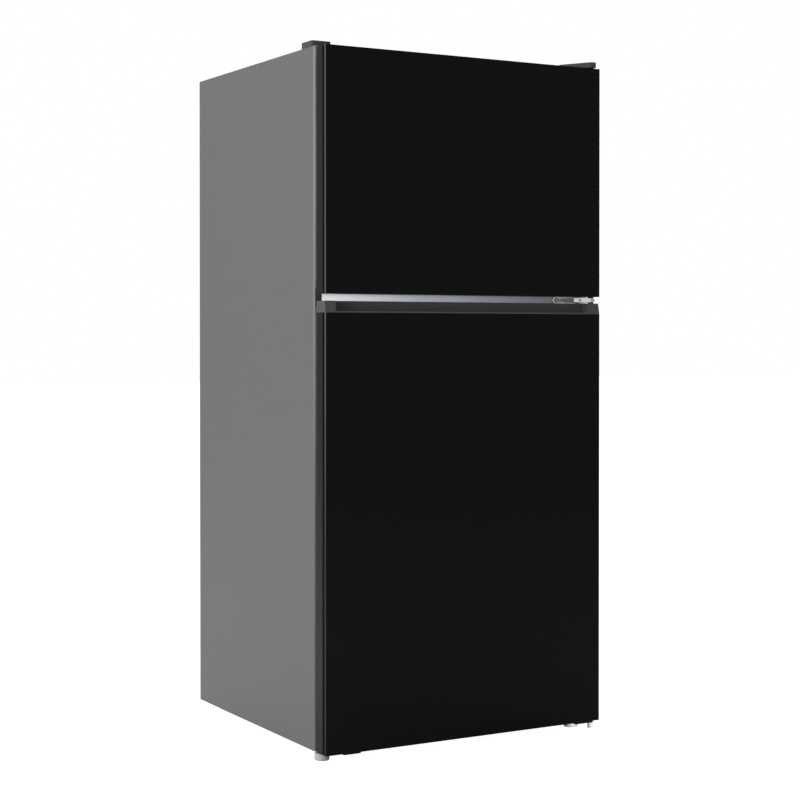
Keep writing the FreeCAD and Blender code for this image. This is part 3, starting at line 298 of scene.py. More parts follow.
# painted highlight at the bar's left end, painted shade towards its right end
bar_painted_light_ramp = add(bright_bar, "ShaderNodeValToRGB")
put(bright_bar, bar_painted_light_ramp.inputs[0], span(bright_bar, wobble, BAR_LEFT, BAR_RIGHT))
bar_painted_light_ramp.color_ramp.elements[0].color = (0.95, 0.96, 0.98, 1)
bar_painted_light_ramp.color_ramp.elements[1].color = (0.24, 0.25, 0.28, 1)
bar_painted_light_ramp.color_ramp.elements.new(0.35).color = (0.52, 0.54, 0.60, 1)
brush_bump = add(bright_bar, "ShaderNodeBump", strength=0.2, distance=0.0001, height=strokes)
put(bright_bar, shader_of(bright_bar).inputs["Base Color"], bar_painted_light_ramp.outputs[0])
put(bright_bar, shader_of(bright_bar).inputs["Normal"], brush_bump.outputs[0])
print("brushed bar: bright at its left end, darker to the right")

# %% [markdown]
# The doors are black-backed glass. Glass painted on its back looks black because almost
# all light goes in and stays there, so the colour is nearly black and the reflection is
# weak and smooth. Its ground edge is bright, so the finish looks at which way the surface
# faces: the faces that look sideways are silver, the front is black. Towards the floor the
# silver is painted duller, a painted shade for the less light that reaches it there.

# %% Black glass with a ground edge
GLASS_BLACK = (0.0085, 0.0092, 0.0098)
GROUND_EDGE = (0.16, 0.165, 0.17, 1)
black_glass = finish("black_glass", GLASS_BLACK, rough=0.06, specular=0.10)
sideways = maths(black_glass, "ABSOLUTE", split(black_glass, "Normal")["X"])
edge_here = maths(black_glass, "GREATER_THAN", sideways, 0.6)
# painted shade: the silver edge is painted duller towards the floor
painted_edge_shade = span(black_glass, split(black_glass, "Object")["Z"], 0.45, 0.85, 0.15, 1.0)
edge_silver_and_shade = maths(black_glass, "MULTIPLY", edge_here, painted_edge_shade)
put(black_glass, shader_of(black_glass).inputs["Base Color"],
    mix_tones(black_glass, edge_silver_and_shade, (*GLASS_BLACK, 1), GROUND_EDGE))
print("black glass: front and edge tones")

# %% [markdown]
# ## Dressing the frame's own pieces
# A part whose shape is already right only needs its finish, and a very small bevel so that
# its edges catch the light as real edges do. The frame's meshes are loose triangles, so a
# Weld comes before the Bevel.

# %% Give each node its finish
DRESS = {
    side_paint: ["outer_wrapper"],
    zinc_sheet: ["rear_panel", "base_pan", "compressor_base", "machine_cover"],
    bright_bar: ["mullion_bar"],
    zinc_plate: ["middle_hinge", "hinge_screws"],
    white_nylon: ["bottom_hinge_pin", "foot_left", "foot_right"],
    black_steel: ["top_hinge", "bottom_hinge", "compressor"],
    cap_plastic: ["mullion_end_block", "hinge_cover_right", "hinge_cover_left",
                  "fridge_door_handle_cap"],
    rail_plastic: ["freezer_door_rails", "fridge_door_rails", "freezer_door_top_cap",
                   "freezer_door_bottom_cap", "fridge_door_bottom_cap", "roller_left",
                   "roller_right", "drain_pan", "condenser_fan_motor", "condenser_fan_blade"],
    black_glass: ["freezer_door_glass", "fridge_door_glass"],
    liner_white: ["freezer_liner", "fresh_food_liner", "freezer_door_liner", "fridge_door_liner",
                  "evaporator_cover", "control_housing", "temperature_knob",
                  "evaporator_fan_blade", "shelf_frames", "crisper_cover_frame",
                  "freezer_shelf_frame"],
    foam_yellow: ["insulation", "freezer_door_foam", "fridge_door_foam"],
    seal_grey: ["freezer_door_gasket", "fridge_door_gasket", "compressor_grommets", "cord_gland"],
    clear_plastic: ["freezer_door_bins", "fridge_door_bins", "crisper_left", "crisper_right",
                    "dairy_flap"],
    shelf_pane: ["shelf_glass", "crisper_cover_glass", "freezer_shelf_glass"],
    coil_metal: ["evaporator", "condenser", "evaporator_fan_motor"],
    lamp_glow: ["lamp_lens"],
}
for material, names in DRESS.items():
    for name in names:
        NODES[name].data.materials.clear()
        NODES[name].data.materials.append(material)
undressed = set(NODES) - {name for names in DRESS.values() for name in names}
print("nodes without a finish:", sorted(undressed))


def soften(name, width, segments=2):
    """Welds a frame piece's triangles and rounds its sharp edges a little."""
    node = NODES[name]
    weld = node.modifiers.new("weld", "WELD")
    weld.merge_threshold = 0.00001
    bevel = node.modifiers.new("edge", "BEVEL")
    bevel.width = width
    bevel.segments = segments
    bevel.limit_method = "ANGLE"
    bevel.angle_limit = math.radians(40)
    bevel.harden_normals = False


for name, width in {"fridge_door_handle_cap": 0.0007, "freezer_door_top_cap": 0.0006,
                    "freezer_door_bottom_cap": 0.0006, "fridge_door_bottom_cap": 0.0006,
                    "freezer_door_rails": 0.0005, "fridge_door_rails": 0.0005,
                    "mullion_end_block": 0.0006, "middle_hinge": 0.0005}.items():
    soften(name, width)

# %% [markdown]
# ## Mesh helpers
# Every new piece starts as a bmesh, which is a mesh that is being edited. Two shapes come
# back again and again: a block with rounded edges, and a turned piece, which is an outline
# spun right round an axis. Keeping each as one small function keeps the pieces short.

# %% Close a piece and shade it
def close_piece(name, mesh, material, body, replaced=(), second=None, sharp=35):
    """Makes an object of a bmesh; it rides on a body and stands for some nodes."""
    bmesh.ops.remove_doubles(mesh, verts=mesh.verts, dist=0.000002)
    data = bpy.data.meshes.new(name)
    mesh.to_mesh(data)
    mesh.free()
    data.materials.append(material)
    if second:
        data.materials.append(second)
    data.shade_smooth()
    data.set_sharp_from_angle(angle=math.radians(sharp))
    piece = bpy.data.objects.new(name, data)
    bpy.context.collection.objects.link(piece)
    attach(piece, body)
    if replaced:
        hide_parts(*replaced)
    print(name, "faces:", len(data.polygons))
    return piece


def thicken(piece, wall):
    """Gives a skin its wall, on the side away from its normals."""
    skin = piece.modifiers.new("wall", "SOLIDIFY")
    skin.thickness = wall
    skin.offset = -1
    return piece


# %% [markdown]
# A block is made as a unit cube, then scaled and moved to its corners. The bevel operator
# rounds only the edges we hand to it, so `along` picks those that run along some axes.

# %% A rounded block
def runs_along(edge, axes):
    """Whether an edge is parallel to one of the named axes."""
    way = edge.verts[1].co - edge.verts[0].co
    return any(abs(way["XYZ".index(axis)]) > 0.98 * way.length for axis in axes)


def round_off(mesh, edges, radius, segments=3):
    """The bevel operator with the settings every piece uses."""
    return bmesh.ops.bevel(mesh, geom=edges, offset=radius, offset_type="OFFSET", affect="EDGES",
                           segments=segments, profile=0.5, material=-1)


def block(mesh, low, high, radius=0.0, along="XYZ", segments=3, tone=0):
    """A box between two corners, some of whose edges are rounded."""
    made = bmesh.ops.create_cube(mesh, size=1)["verts"]
    bmesh.ops.scale(mesh, vec=[b - a for a, b in zip(low, high)], verts=made)
    bmesh.ops.translate(mesh, vec=[(a + b) / 2 for a, b in zip(low, high)], verts=made)
    for face in {face for vert in made for face in vert.link_faces}:
        face.material_index = tone
    if radius:
        edges = list(dict.fromkeys(edge for vert in made for edge in vert.link_edges))
        round_off(mesh, [edge for edge in edges if runs_along(edge, along)], radius, segments)


def turned(mesh, outline, centre, axis="Z", steps=32, tone=0):
    """Spins an outline of (radius, distance along the axis) points right round."""
    spot = {"X": lambda r, t: (t, r, 0), "Y": lambda r, t: (r, t, 0),
            "Z": lambda r, t: (r, 0, t)}[axis]
    verts = [mesh.verts.new(Vector(centre) + Vector(spot(r, t))) for r, t in outline]
    edges = [mesh.edges.new(pair) for pair in zip(verts, verts[1:])]
    line = Vector([axis == name for name in "XYZ"])
    before = set(mesh.faces)
    bmesh.ops.spin(mesh, geom=verts + edges, cent=centre, axis=line, angle=math.tau, steps=steps,
                   use_merge=True)
    bmesh.ops.remove_doubles(mesh, verts=mesh.verts, dist=0.000002)
    fresh = [face for face in mesh.faces if face not in before]
    bmesh.ops.recalc_face_normals(mesh, faces=fresh)
    for face in fresh:
        face.material_index = tone


def edge_faces(mesh, axis, side):
    """The faces that look along an axis at the far end of the mesh."""
    index = "XYZ".index(axis)
    mesh.normal_update()
    facing = [face for face in mesh.faces if face.normal[index] * side > 0.9]
    far = max(face.calc_center_median()[index] * side for face in facing)
    return [face for face in facing if face.calc_center_median()[index] * side > far - 0.0001]


print("helpers ready")

# %% [markdown]
# ## Where things are
# All sizes come from the frame's own pieces. `lo` and `hi` are the corners of a node's box.

# %% Positions that many pieces share
def corners(name):
    """The lowest and highest corner of a node as two vectors."""
    low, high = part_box(name)
    return Vector(low), Vector(high)


side_lo, side_hi = corners("outer_wrapper")
HALF_WIDTH, BACK_Y = side_hi.x, side_hi.y
CAB_FRONT_Y = side_lo.y
DOOR_REAR_Y = corners("fridge_door_rails")[1].y
pin_lo, pin_hi = corners("bottom_hinge_pin")
PIVOT = Vector(((pin_lo.x + pin_hi.x) / 2, (pin_lo.y + pin_hi.y) / 2, 0))
print("pivot", [round(c, 4) for c in PIVOT], "cabinet front", round(CAB_FRONT_Y, 4))

# %% [markdown]
# ## Door gaskets
# A gasket is an extruded rubber bellows, cut at 45 degrees and welded at its corners. A
# profile spun in only four steps makes exactly such a mitred frame: each step is a corner.
# The square it makes is then pulled out to the door's own width and height.

# %% Gaskets with a fold
BELLOWS = [(0, 0), (14, 0), (14, 2.0), (10.8, 3.4), (13.4, 4.8), (14, 6.0), (14, 9.2), (13.2, 9.9),
           (0.8, 9.9), (0, 9.2), (0, 6.0), (0.6, 4.8), (3.2, 3.4), (0, 2.0), (0, 0)]


def gasket(node, body):
    lo, hi = corners(node)
    depth = (hi.y - lo.y) / 0.0099
    middle = (lo + hi) / 2
    mesh = bmesh.new()
    verts = [mesh.verts.new((0.1 - u / 1000, lo.y + y * depth / 1000, 0.1 - u / 1000))
             for u, y in BELLOWS[:-1]]
    edges = [mesh.edges.new(pair) for pair in zip(verts, verts[1:] + verts[:1])]
    bmesh.ops.spin(mesh, geom=verts + edges, cent=(0, 0, 0), axis=(0, 1, 0), angle=math.tau,
                   steps=4, use_merge=True)
    for side in (-1, 1):
        across = [vert for vert in mesh.verts if vert.co.x * side > 0]
        bmesh.ops.translate(mesh, vec=(side * (hi.x - 0.1), 0, 0), verts=across)
        upright = [vert for vert in mesh.verts if vert.co.z * side > 0]
        bmesh.ops.translate(mesh, vec=(0, 0, side * ((hi.z - lo.z) / 2 - 0.1)), verts=upright)
    bmesh.ops.translate(mesh, vec=(middle.x, 0, middle.z), verts=mesh.verts)
    bmesh.ops.recalc_face_normals(mesh, faces=mesh.faces)
    return close_piece(node + "_bellows", mesh, seal_grey, body, [node], sharp=50)


gasket("freezer_door_gasket", "freezer_door")
gasket("fridge_door_gasket", "fridge_door")

# %% [markdown]
# ## Feet, hinge pin and screws
# A levelling foot is a white moulding turned round its stem: a soft lower edge, a waist and
# a collar. It is drawn as half its outline and spun. The lower hinge pin ends in a pale
# collar with a dark round hole.

# %% Feet
def foot(node):
    lo, hi = corners(node)
    r, top = (hi.x - lo.x) / 2, hi.z
    mesh = bmesh.new()
    turned(mesh, [(0, 0.0006), (r - 0.0050, 0.0006), (r - 0.0044, 0), (r - 0.0030, 0),
                  (r - 0.0012, 0.0006), (r - 0.0003, 0.0018), (r, 0.0036), (r, 0.0074),
                  (r - 0.0007, 0.0080), (r - 0.0007, 0.0090), (r, 0.0096), (r, 0.0150),
                  (r - 0.0004, 0.0164), (r - 0.0012, 0.0170), (0.0052, 0.0170),
                  (0.0047, 0.0176), (0.0047, top), (0, top)],
           ((lo.x + hi.x) / 2, (lo.y + hi.y) / 2, 0), steps=40)
    return close_piece(node + "_moulding", mesh, white_nylon, node, [node], sharp=45)


foot("foot_left")
foot("foot_right")

# %% Lower hinge pin with its hole
collar = (pin_hi.x - pin_lo.x) / 2
mesh = bmesh.new()
turned(mesh, [(0.0024, pin_lo.z + 0.0035), (0.0024, pin_lo.z + 0.0004), (0.0030, pin_lo.z),
              (collar - 0.0014, pin_lo.z), (collar - 0.0004, pin_lo.z + 0.0005),
              (collar, pin_lo.z + 0.0016), (collar, pin_lo.z + 0.0135),
              (0.0045, pin_lo.z + 0.0140), (0.0045, pin_hi.z - 0.001),
              (0.0036, pin_hi.z), (0, pin_hi.z)], (PIVOT.x, PIVOT.y, 0), steps=36)
turned(mesh, [(0, pin_lo.z + 0.0034), (0.0024, pin_lo.z + 0.0034)], (PIVOT.x, PIVOT.y, 0),
       steps=36, tone=1)
close_piece("lower_hinge_pin", mesh, white_nylon, "cabinet", ["bottom_hinge_pin"],
            second=black_steel, sharp=40)

# %% [markdown]
# The screws have low domed heads with a cross recess. The recess is a dark cross let into
# the dome, two crossed bars whose tops sit just proud of it.

# %% Hinge screws
def pan_head(mesh, spot, axis, way):
    """A domed screw head on a seat, facing along an axis, with its cross."""
    dome = [(0.0025, 0), (0.0060, 0), (0.0060, 0.0008), (0.0055, 0.0018), (0.0042, 0.0026),
            (0.0022, 0.0029), (0, 0.0030)]
    turned(mesh, [(r, t * way) for r, t in dome], spot, axis, steps=24)
    index = "XYZ".index(axis)
    for turn in (0, 1):
        arms = [0.0034, 0.0034, 0.0034]
        arms[(index + 1 + turn) % 3] = 0.0007
        low, high = Vector(spot), Vector(spot)
        for other in range(3):
            if other != index:
                low[other] -= arms[other]
                high[other] += arms[other]
        ends = sorted((spot[index] + 0.0020 * way, spot[index] + 0.00295 * way))
        low[index], high[index] = ends
        block(mesh, low, high, tone=1)


hinge_lo = corners("middle_hinge")[0]
screw_hi = corners("hinge_screws")[1]
bracket_lo = corners("bottom_hinge")[0]
bar_lo, bar_hi = corners("mullion_bar")
plate_z = (bar_lo.z + bar_hi.z) / 2
plate_y = bar_lo.y - 0.003
mesh = bmesh.new()
pan_head(mesh, (hinge_lo.x + 0.010, plate_y, plate_z), "Y", -1)
for across, back in ((0.020, 0.020), (0.020, 0.050), (0.038, 0.035)):
    pan_head(mesh, (HALF_WIDTH - across, CAB_FRONT_Y + back, screw_hi.z - 0.003), "Z", 1)
for back in (0.016, 0.046):
    pan_head(mesh, (HALF_WIDTH - 0.070, CAB_FRONT_Y + back, bracket_lo.z), "Z", -1)
close_piece("hinge_screw_heads", mesh, zinc_plate, "cabinet", ["hinge_screws"],
            second=black_steel, sharp=40)

# %% [markdown]
# ## Inner boxes
# Each compartment is one vacuum-formed sheet: rounded edges everywhere, a flange at the
# mouth. The fresh food box has a step at the back where the machine compartment pushes in.
# We draw the side outline as one face, extrude it across, open the front and round every
# edge that is left. A Solidify modifier gives the sheet its wall behind the visible side.

# %% A formed liner
LINER_WALL = 0.002


def formed_liner(name, outline, half, radius, flange, mouth_y, node, open_back=False):
    mesh = bmesh.new()
    verts = [mesh.verts.new((-half, y, z)) for y, z in outline]
    first = mesh.faces.new(verts)
    swept = bmesh.ops.extrude_face_region(mesh, geom=[first])["geom"]
    bmesh.ops.translate(mesh, vec=(half * 2, 0, 0),
                        verts=[v for v in swept if isinstance(v, bmesh.types.BMVert)])
    bmesh.ops.recalc_face_normals(mesh, faces=mesh.faces)
    gone = edge_faces(mesh, "Y", -1) + (edge_faces(mesh, "Y", 1) if open_back else [])
    bmesh.ops.delete(mesh, geom=gone, context="FACES_ONLY")
    round_off(mesh, [edge for edge in mesh.edges if len(edge.link_faces) == 2], radius, 4)
    bmesh.ops.reverse_faces(mesh, faces=mesh.faces)
    if flange:
        rim = [edge for edge in mesh.edges if edge.is_boundary
               and all(abs(vert.co.y - mouth_y) < 0.0001 for vert in edge.verts)]
        spread = bmesh.ops.extrude_edge_only(mesh, edges=rim)["geom"]
        out = [v for v in spread if isinstance(v, bmesh.types.BMVert)]
        low, high = min(v.co.z for v in out), max(v.co.z for v in out)
        middle = (low + high) / 2
        reach, flange_low, flange_high = flange
        for vert in out:
            vert.co.x *= reach / half
            grow = (flange_high - middle) if vert.co.z > middle else (middle - flange_low)
            vert.co.z = middle + (vert.co.z - middle) * grow / ((high - low) / 2)
    piece = close_piece(name, mesh, liner_white, "cabinet", [node] if node else [],
                        sharp=60)
    return thicken(piece, LINER_WALL)


freezer_lo, freezer_hi = corners("freezer_liner")
fresh_lo = corners("fresh_food_liner")[0]
cover_lo, cover_hi = corners("evaporator_cover")
crisper_lo = corners("crisper_left")[0]
MOUTH_Y = freezer_lo.y + 0.0005
FLANGE_HALF = freezer_hi.x - 0.0005
fz_half, fz_low, fz_high = cover_hi.x, cover_lo.z, cover_hi.z
ff_half = corners("crisper_right")[1].x + 0.007
ff_low = crisper_lo.z - 0.003
ff_high = corners("control_housing")[1].z
ff_back = corners("shelf_frames")[1].y + 0.0005
MACHINE_DEPTH, STEP_FOAM = 0.215, 0.048
step_z = 0.282
step_y = BACK_Y - MACHINE_DEPTH - STEP_FOAM - LINER_WALL
formed_liner("freezer_box_front", [(MOUTH_Y, fz_low), (cover_lo.y - 0.0003, fz_low),
                                   (cover_lo.y - 0.0003, fz_high), (MOUTH_Y, fz_high)],
             fz_half, 0.016, (FLANGE_HALF, plate_z, freezer_hi.z), MOUTH_Y, "freezer_liner", True)
formed_liner("freezer_box_back", [(cover_lo.y - 0.0003, fz_low), (ff_back, fz_low),
                                  (ff_back, fz_high), (cover_lo.y - 0.0003, fz_high)],
             fz_half, 0.003, None, MOUTH_Y, None)
formed_liner("fresh_food_box", [(MOUTH_Y, ff_low), (step_y, ff_low), (step_y, step_z),
                                (ff_back, step_z), (ff_back, ff_high), (MOUTH_Y, ff_high)],
             ff_half, 0.013, (FLANGE_HALF, fresh_lo.z, plate_z), MOUTH_Y, "fresh_food_liner")

# %% [markdown]
# Shelves rest on ledges formed in the side walls, drawn here as rounded bars that meet the
# wall. Their heights are those of the shelf frames they carry.

# %% Ledges
shelf_lo, shelf_hi = corners("shelf_frames")
freezer_shelf_lo, freezer_shelf_hi = corners("freezer_shelf_frame")
veg_lo = corners("crisper_cover_frame")[0]
FRAME_HEIGHT = 0.012
SHELF_LEVELS = [shelf_lo.z, shelf_hi.z - FRAME_HEIGHT]


def ledges(name, half, levels, front, back):
    mesh = bmesh.new()
    for level in levels:
        for side in (-1, 1):
            across = sorted((half * side, (half - 0.006) * side))
            block(mesh, (across[0], front, level - 0.008), (across[1], back, level), 0.0025, "YZ")
    return close_piece(name, mesh, liner_white, "cabinet")


ledges("freezer_ledges", fz_half, [freezer_shelf_lo.z],
       freezer_shelf_lo.y, freezer_shelf_hi.y - 0.012)
ledges("fresh_food_ledges", ff_half, SHELF_LEVELS + [veg_lo.z], shelf_lo.y, shelf_hi.y - 0.015)

# %% [markdown]
# ## Shelves
# A shelf is a glass pane in a moulded frame with a deeper trim along its front. The frame
# is a rounded slab whose middle is taken out: the top and bottom faces are inset, the
# inset faces are deleted, and the two holes are bridged.

# %% Shelf frames
def shelf_frame(mesh, low, high, rim, corner):
    start = set(mesh.verts)
    block(mesh, low, high, corner, "Z", 5)
    fresh = [face for face in mesh.faces if any(vert not in start for vert in face.verts)]
    mesh.normal_update()
    holes = []
    for side in (1, -1):
        cap = max(fresh, key=lambda face: face.normal.z * side)
        bmesh.ops.inset_region(mesh, faces=[cap], thickness=rim, use_even_offset=True)
        holes.append(cap)
    loops = [edge for face in holes for edge in face.edges]
    bmesh.ops.delete(mesh, geom=holes, context="FACES_ONLY")
    bmesh.ops.bridge_loops(mesh, edges=loops)
    block(mesh, (low[0] + 0.0003, low[1], low[2] - 0.005),
          (high[0] - 0.0003, low[1] + 0.011, high[2]), 0.0035, "X", 4)


def shelves(name, node, levels):
    lo, hi = corners(node)
    mesh = bmesh.new()
    for level in levels:
        shelf_frame(mesh, (lo.x, lo.y, level), (hi.x, hi.y, level + FRAME_HEIGHT), 0.013, 0.016)
    bmesh.ops.recalc_face_normals(mesh, faces=mesh.faces)
    piece = close_piece(name, mesh, liner_white, "cabinet", [node])
    edge = piece.modifiers.new("edge", "BEVEL")
    edge.width, edge.segments, edge.limit_method = 0.0006, 2, "ANGLE"
    edge.angle_limit = math.radians(50)
    return piece


shelves("fresh_food_shelf_frames", "shelf_frames", SHELF_LEVELS)
shelves("vegetable_cover_frame", "crisper_cover_frame", [veg_lo.z])
shelves("freezer_shelf_rim", "freezer_shelf_frame", [freezer_shelf_lo.z])

# %% [markdown]
# ## Bins and vegetable drawers
# These are clear injection-moulded tubs. A rounded block is hollowed: its top face is inset
# by the wall thickness and pushed down, which leaves the walls and the floor in one go. A
# white band is moulded along the front edge of each bin.

# %% Clear tubs
def tub(mesh, low, high, wall, corner, floor=0.003):
    start = set(mesh.verts)
    block(mesh, low, high, corner, "Z", 5)
    fresh = [face for face in mesh.faces if any(vert not in start for vert in face.verts)]
    mesh.normal_update()
    base = min(fresh, key=lambda face: face.normal.z)
    round_off(mesh, list(base.edges), min(corner * 0.5, 0.006), 3)
    mesh.normal_update()
    fresh = [face for face in mesh.faces if any(vert not in start for vert in face.verts)]
    top = max(fresh, key=lambda face: face.normal.z
              * (face.calc_center_median().z > high[2] - 0.001))
    bmesh.ops.inset_region(mesh, faces=[top], thickness=wall, use_even_offset=True)
    sunk = bmesh.ops.extrude_face_region(mesh, geom=[top])["geom"]
    sunk_verts = [v for v in sunk if isinstance(v, bmesh.types.BMVert)]
    bmesh.ops.translate(mesh, vec=(0, 0, low[2] + floor - high[2]), verts=sunk_verts)
    if top.is_valid and len(top.verts) and all(v.co.z > high[2] - 0.0001 for v in top.verts):
        bmesh.ops.delete(mesh, geom=[top], context="FACES_ONLY")
    deep = [f for f in sunk if isinstance(f, bmesh.types.BMFace)]
    bmesh.ops.scale(mesh, vec=(0.992, 0.985, 1), verts=sunk_verts,
                    space=Matrix.Translation(-deep[0].calc_center_median()))


def door_bins(name, node, body, levels, height, half):
    lo, hi = corners(node)
    mesh = bmesh.new()
    for level in levels:
        tub(mesh, (-half, lo.y, level), (half, lo.y + 0.095, level + height), 0.003, 0.014)
    bmesh.ops.recalc_face_normals(mesh, faces=mesh.faces)
    close_piece(name, mesh, clear_plastic, body, [node], sharp=40)
    trim = bmesh.new()
    for level in levels:
        block(trim, (-half + 0.014, lo.y + 0.0915, level + height - 0.017),
              (half - 0.014, lo.y + 0.0955, level + height + 0.0005), 0.0014, "XYZ")
        for rib in (-0.5, 0, 0.5):
            block(trim, (half * rib - 0.0015, lo.y + 0.0035, level + 0.0032),
                  (half * rib + 0.0015, lo.y + 0.0915, level + 0.008), 0.0006)
    return close_piece(name + "_bands", trim, liner_white, body)


FREEZER_BINS, FRIDGE_BINS = [1.140, 1.370], [0.135, 0.390, 0.620]
fridge_bin_lo, fridge_bin_hi = corners("fridge_door_bins")
door_bins("freezer_door_tubs", "freezer_door_bins", "freezer_door", FREEZER_BINS, 0.090,
          corners("freezer_door_bins")[1].x)
door_bins("fridge_door_tubs", "fridge_door_bins", "fridge_door", FRIDGE_BINS, 0.105,
          fridge_bin_hi.x)

# %% [markdown]
# The dairy box on the lower door is a clear shell with a flap. The flap is the frame's own
# piece; the shell behind it is a tub cut lower at the front so that the flap can swing.

# %% Dairy box
DAIRY_HALF, DAIRY_LOW = 0.220, 0.850
mesh = bmesh.new()
tub(mesh, (-DAIRY_HALF, fridge_bin_lo.y, DAIRY_LOW),
    (DAIRY_HALF, fridge_bin_lo.y + 0.087, DAIRY_LOW + 0.040), 0.003, 0.010)
for side in (-1, 1):
    across = sorted((DAIRY_HALF * side, (DAIRY_HALF - 0.003) * side))
    for start, end, top in ((0, 0.040, 0.0712), (0, 0.0166, 0.083), (0.0234, 0.040, 0.083)):
        block(mesh, (across[0], fridge_bin_lo.y + start, DAIRY_LOW + 0.030),
              (across[1], fridge_bin_lo.y + end, DAIRY_LOW + top), 0.0010)
block(mesh, (-DAIRY_HALF, fridge_bin_lo.y, DAIRY_LOW + 0.030),
      (DAIRY_HALF, fridge_bin_lo.y + 0.003, DAIRY_LOW + 0.083), 0.0012)
bmesh.ops.recalc_face_normals(mesh, faces=mesh.faces)
close_piece("dairy_box", mesh, clear_plastic, "fridge_door", sharp=40)

# %% [markdown]
# A vegetable drawer has a thicker front with a finger recess. The recess is a face inset
# into the front plate and pushed in by the inset operator's own depth.

# %% Vegetable drawers
def vegetable_drawer(node):
    lo, hi = corners(node)
    mesh = bmesh.new()
    tub(mesh, (lo.x, lo.y + 0.004, lo.z), (hi.x, hi.y, hi.z), 0.003, 0.012)
    bmesh.ops.recalc_face_normals(mesh, faces=mesh.faces)
    close_piece(node + "_tub", mesh, clear_plastic, node, [node], sharp=40)
    plate = bmesh.new()
    block(plate, (lo.x, lo.y, hi.z - 0.046), (hi.x, lo.y + 0.0085, hi.z), 0)
    front = edge_faces(plate, "Y", -1)
    bmesh.ops.inset_region(plate, faces=front, thickness=0.009, use_even_offset=True)
    bmesh.ops.inset_region(plate, faces=front, thickness=0.002, depth=-0.0055,
                           use_even_offset=True)
    round_off(plate, [e for e in plate.edges if e.calc_face_angle(0) > 0.9], 0.0012, 2)
    return close_piece(node + "_pull", plate, frosted_plastic, node)


vegetable_drawer("crisper_left")
vegetable_drawer("crisper_right")

# %% [markdown]
# ## Inner door panels
# The panel inside each door is formed from one sheet too: a flat border under the gasket, a
# raised dyke all round, and a flat middle where the bins hang. We inset one face twice and
# push the ring between the insets out, then round its edges.

# %% Door panels with a raised dyke
def door_panel(name, node, body, cavity_half, cavity_low, cavity_high):
    lo, hi = corners(node)
    sheet_y = DOOR_REAR_Y
    half, low, high = cavity_half - 0.010, cavity_low + 0.010, cavity_high - 0.010
    mesh = bmesh.new()
    border = mesh.faces.new([mesh.verts.new(spot) for spot in (
        (lo.x, sheet_y, lo.z), (lo.x, sheet_y, hi.z),
        (hi.x, sheet_y, hi.z), (hi.x, sheet_y, lo.z))])
    for inset_by in (0.0, 0.026):
        bmesh.ops.inset_region(mesh, faces=[border], thickness=0.01, use_boundary=True,
                               use_even_offset=True)
        for vert in border.verts:
            vert.co.x = math.copysign(half - inset_by, vert.co.x)
            vert.co.z = (high - inset_by) if vert.co.z > (lo.z + hi.z) / 2 else (low + inset_by)
    ring = [face for face in mesh.faces if face is not border
            and any(vert in border.verts for vert in face.verts)]
    raised = bmesh.ops.extrude_face_region(mesh, geom=ring)["geom"]
    bmesh.ops.translate(mesh, vec=(0, hi.y - sheet_y, 0),
                        verts=[v for v in raised if isinstance(v, bmesh.types.BMVert)])
    bmesh.ops.delete(mesh, geom=[face for face in ring if face.is_valid], context="FACES_ONLY")
    bmesh.ops.recalc_face_normals(mesh, faces=mesh.faces)
    mesh.normal_update()
    if border.normal.y < 0:
        bmesh.ops.reverse_faces(mesh, faces=mesh.faces)
    bends = [e for e in mesh.edges if len(e.link_faces) == 2 and e.calc_face_angle(0) > 0.9]
    round_off(mesh, bends, 0.0048, 4)
    panel = close_piece(name, mesh, liner_white, body, [node], sharp=60)
    return thicken(panel, 0.0018)


def bin_lugs(name, body, half, levels):
    """The small rounded lugs that each bin hooks over."""
    mesh = bmesh.new()
    for level in levels:
        for side in (-1, 1):
            across = sorted((half * side, (half - 0.010) * side))
            block(mesh, (across[0], DOOR_REAR_Y, level - 0.010),
                  (across[1], DOOR_REAR_Y + 0.022, level), 0.002)
    return close_piece(name, mesh, liner_white, body)


door_panel("freezer_door_panel", "freezer_door_liner", "freezer_door", fz_half, fz_low, fz_high)
door_panel("fridge_door_panel", "fridge_door_liner", "fridge_door", ff_half, ff_low, ff_high)
bin_lugs("freezer_door_lugs", "freezer_door", fz_half - 0.036, FREEZER_BINS)
bin_lugs("fridge_door_lugs", "fridge_door", ff_half - 0.036, FRIDGE_BINS)

# %% [markdown]
# ## Middle hinge details
# The middle hinge is a zinc plated bracket screwed to the bar between the doors. Two nylon
# washers carry the doors on its arm, and a boss stands on the end of the arm.

# %% Washers and boss
mesh = bmesh.new()
arm_low, arm_high = plate_z - 0.005, plate_z + 0.005
for low, high in ((corners("fridge_door_handle_cap")[1].z + 0.0004, arm_low),
                  (arm_high, corners("freezer_door_glass")[0].z - 0.0004)):
    turned(mesh, [(0.0047, low), (0.0068, low), (0.0072, low + 0.0004), (0.0072, high - 0.0004),
                  (0.0068, high), (0.0047, high), (0.0047, low)], (PIVOT.x, PIVOT.y, 0), steps=28)
close_piece("middle_hinge_washers", mesh, dark_nylon, "cabinet")
boss = (PIVOT.x + 0.0015, PIVOT.y - 0.0088, plate_z)
mesh = bmesh.new()
turned(mesh, [(0.0020, 0.0012), (0.0024, 0), (0.0046, 0), (0.0050, 0.0004), (0.0050, 0.0025),
              (0.0020, 0.0025), (0.0020, 0.0012)],
       boss, "Y", steps=28)
turned(mesh, [(0, 0.0014), (0.0021, 0.0014)], boss, "Y", steps=28, tone=1)
close_piece("middle_hinge_boss", mesh, zinc_plate, "cabinet",
            second=black_steel)

# %% [markdown]
# ## Back panel
# The back is a steel sheet stiffened by pressed beads. We cut a flat sheet with
# bisect_plane along the beads' outlines, then inset those faces with a little depth.

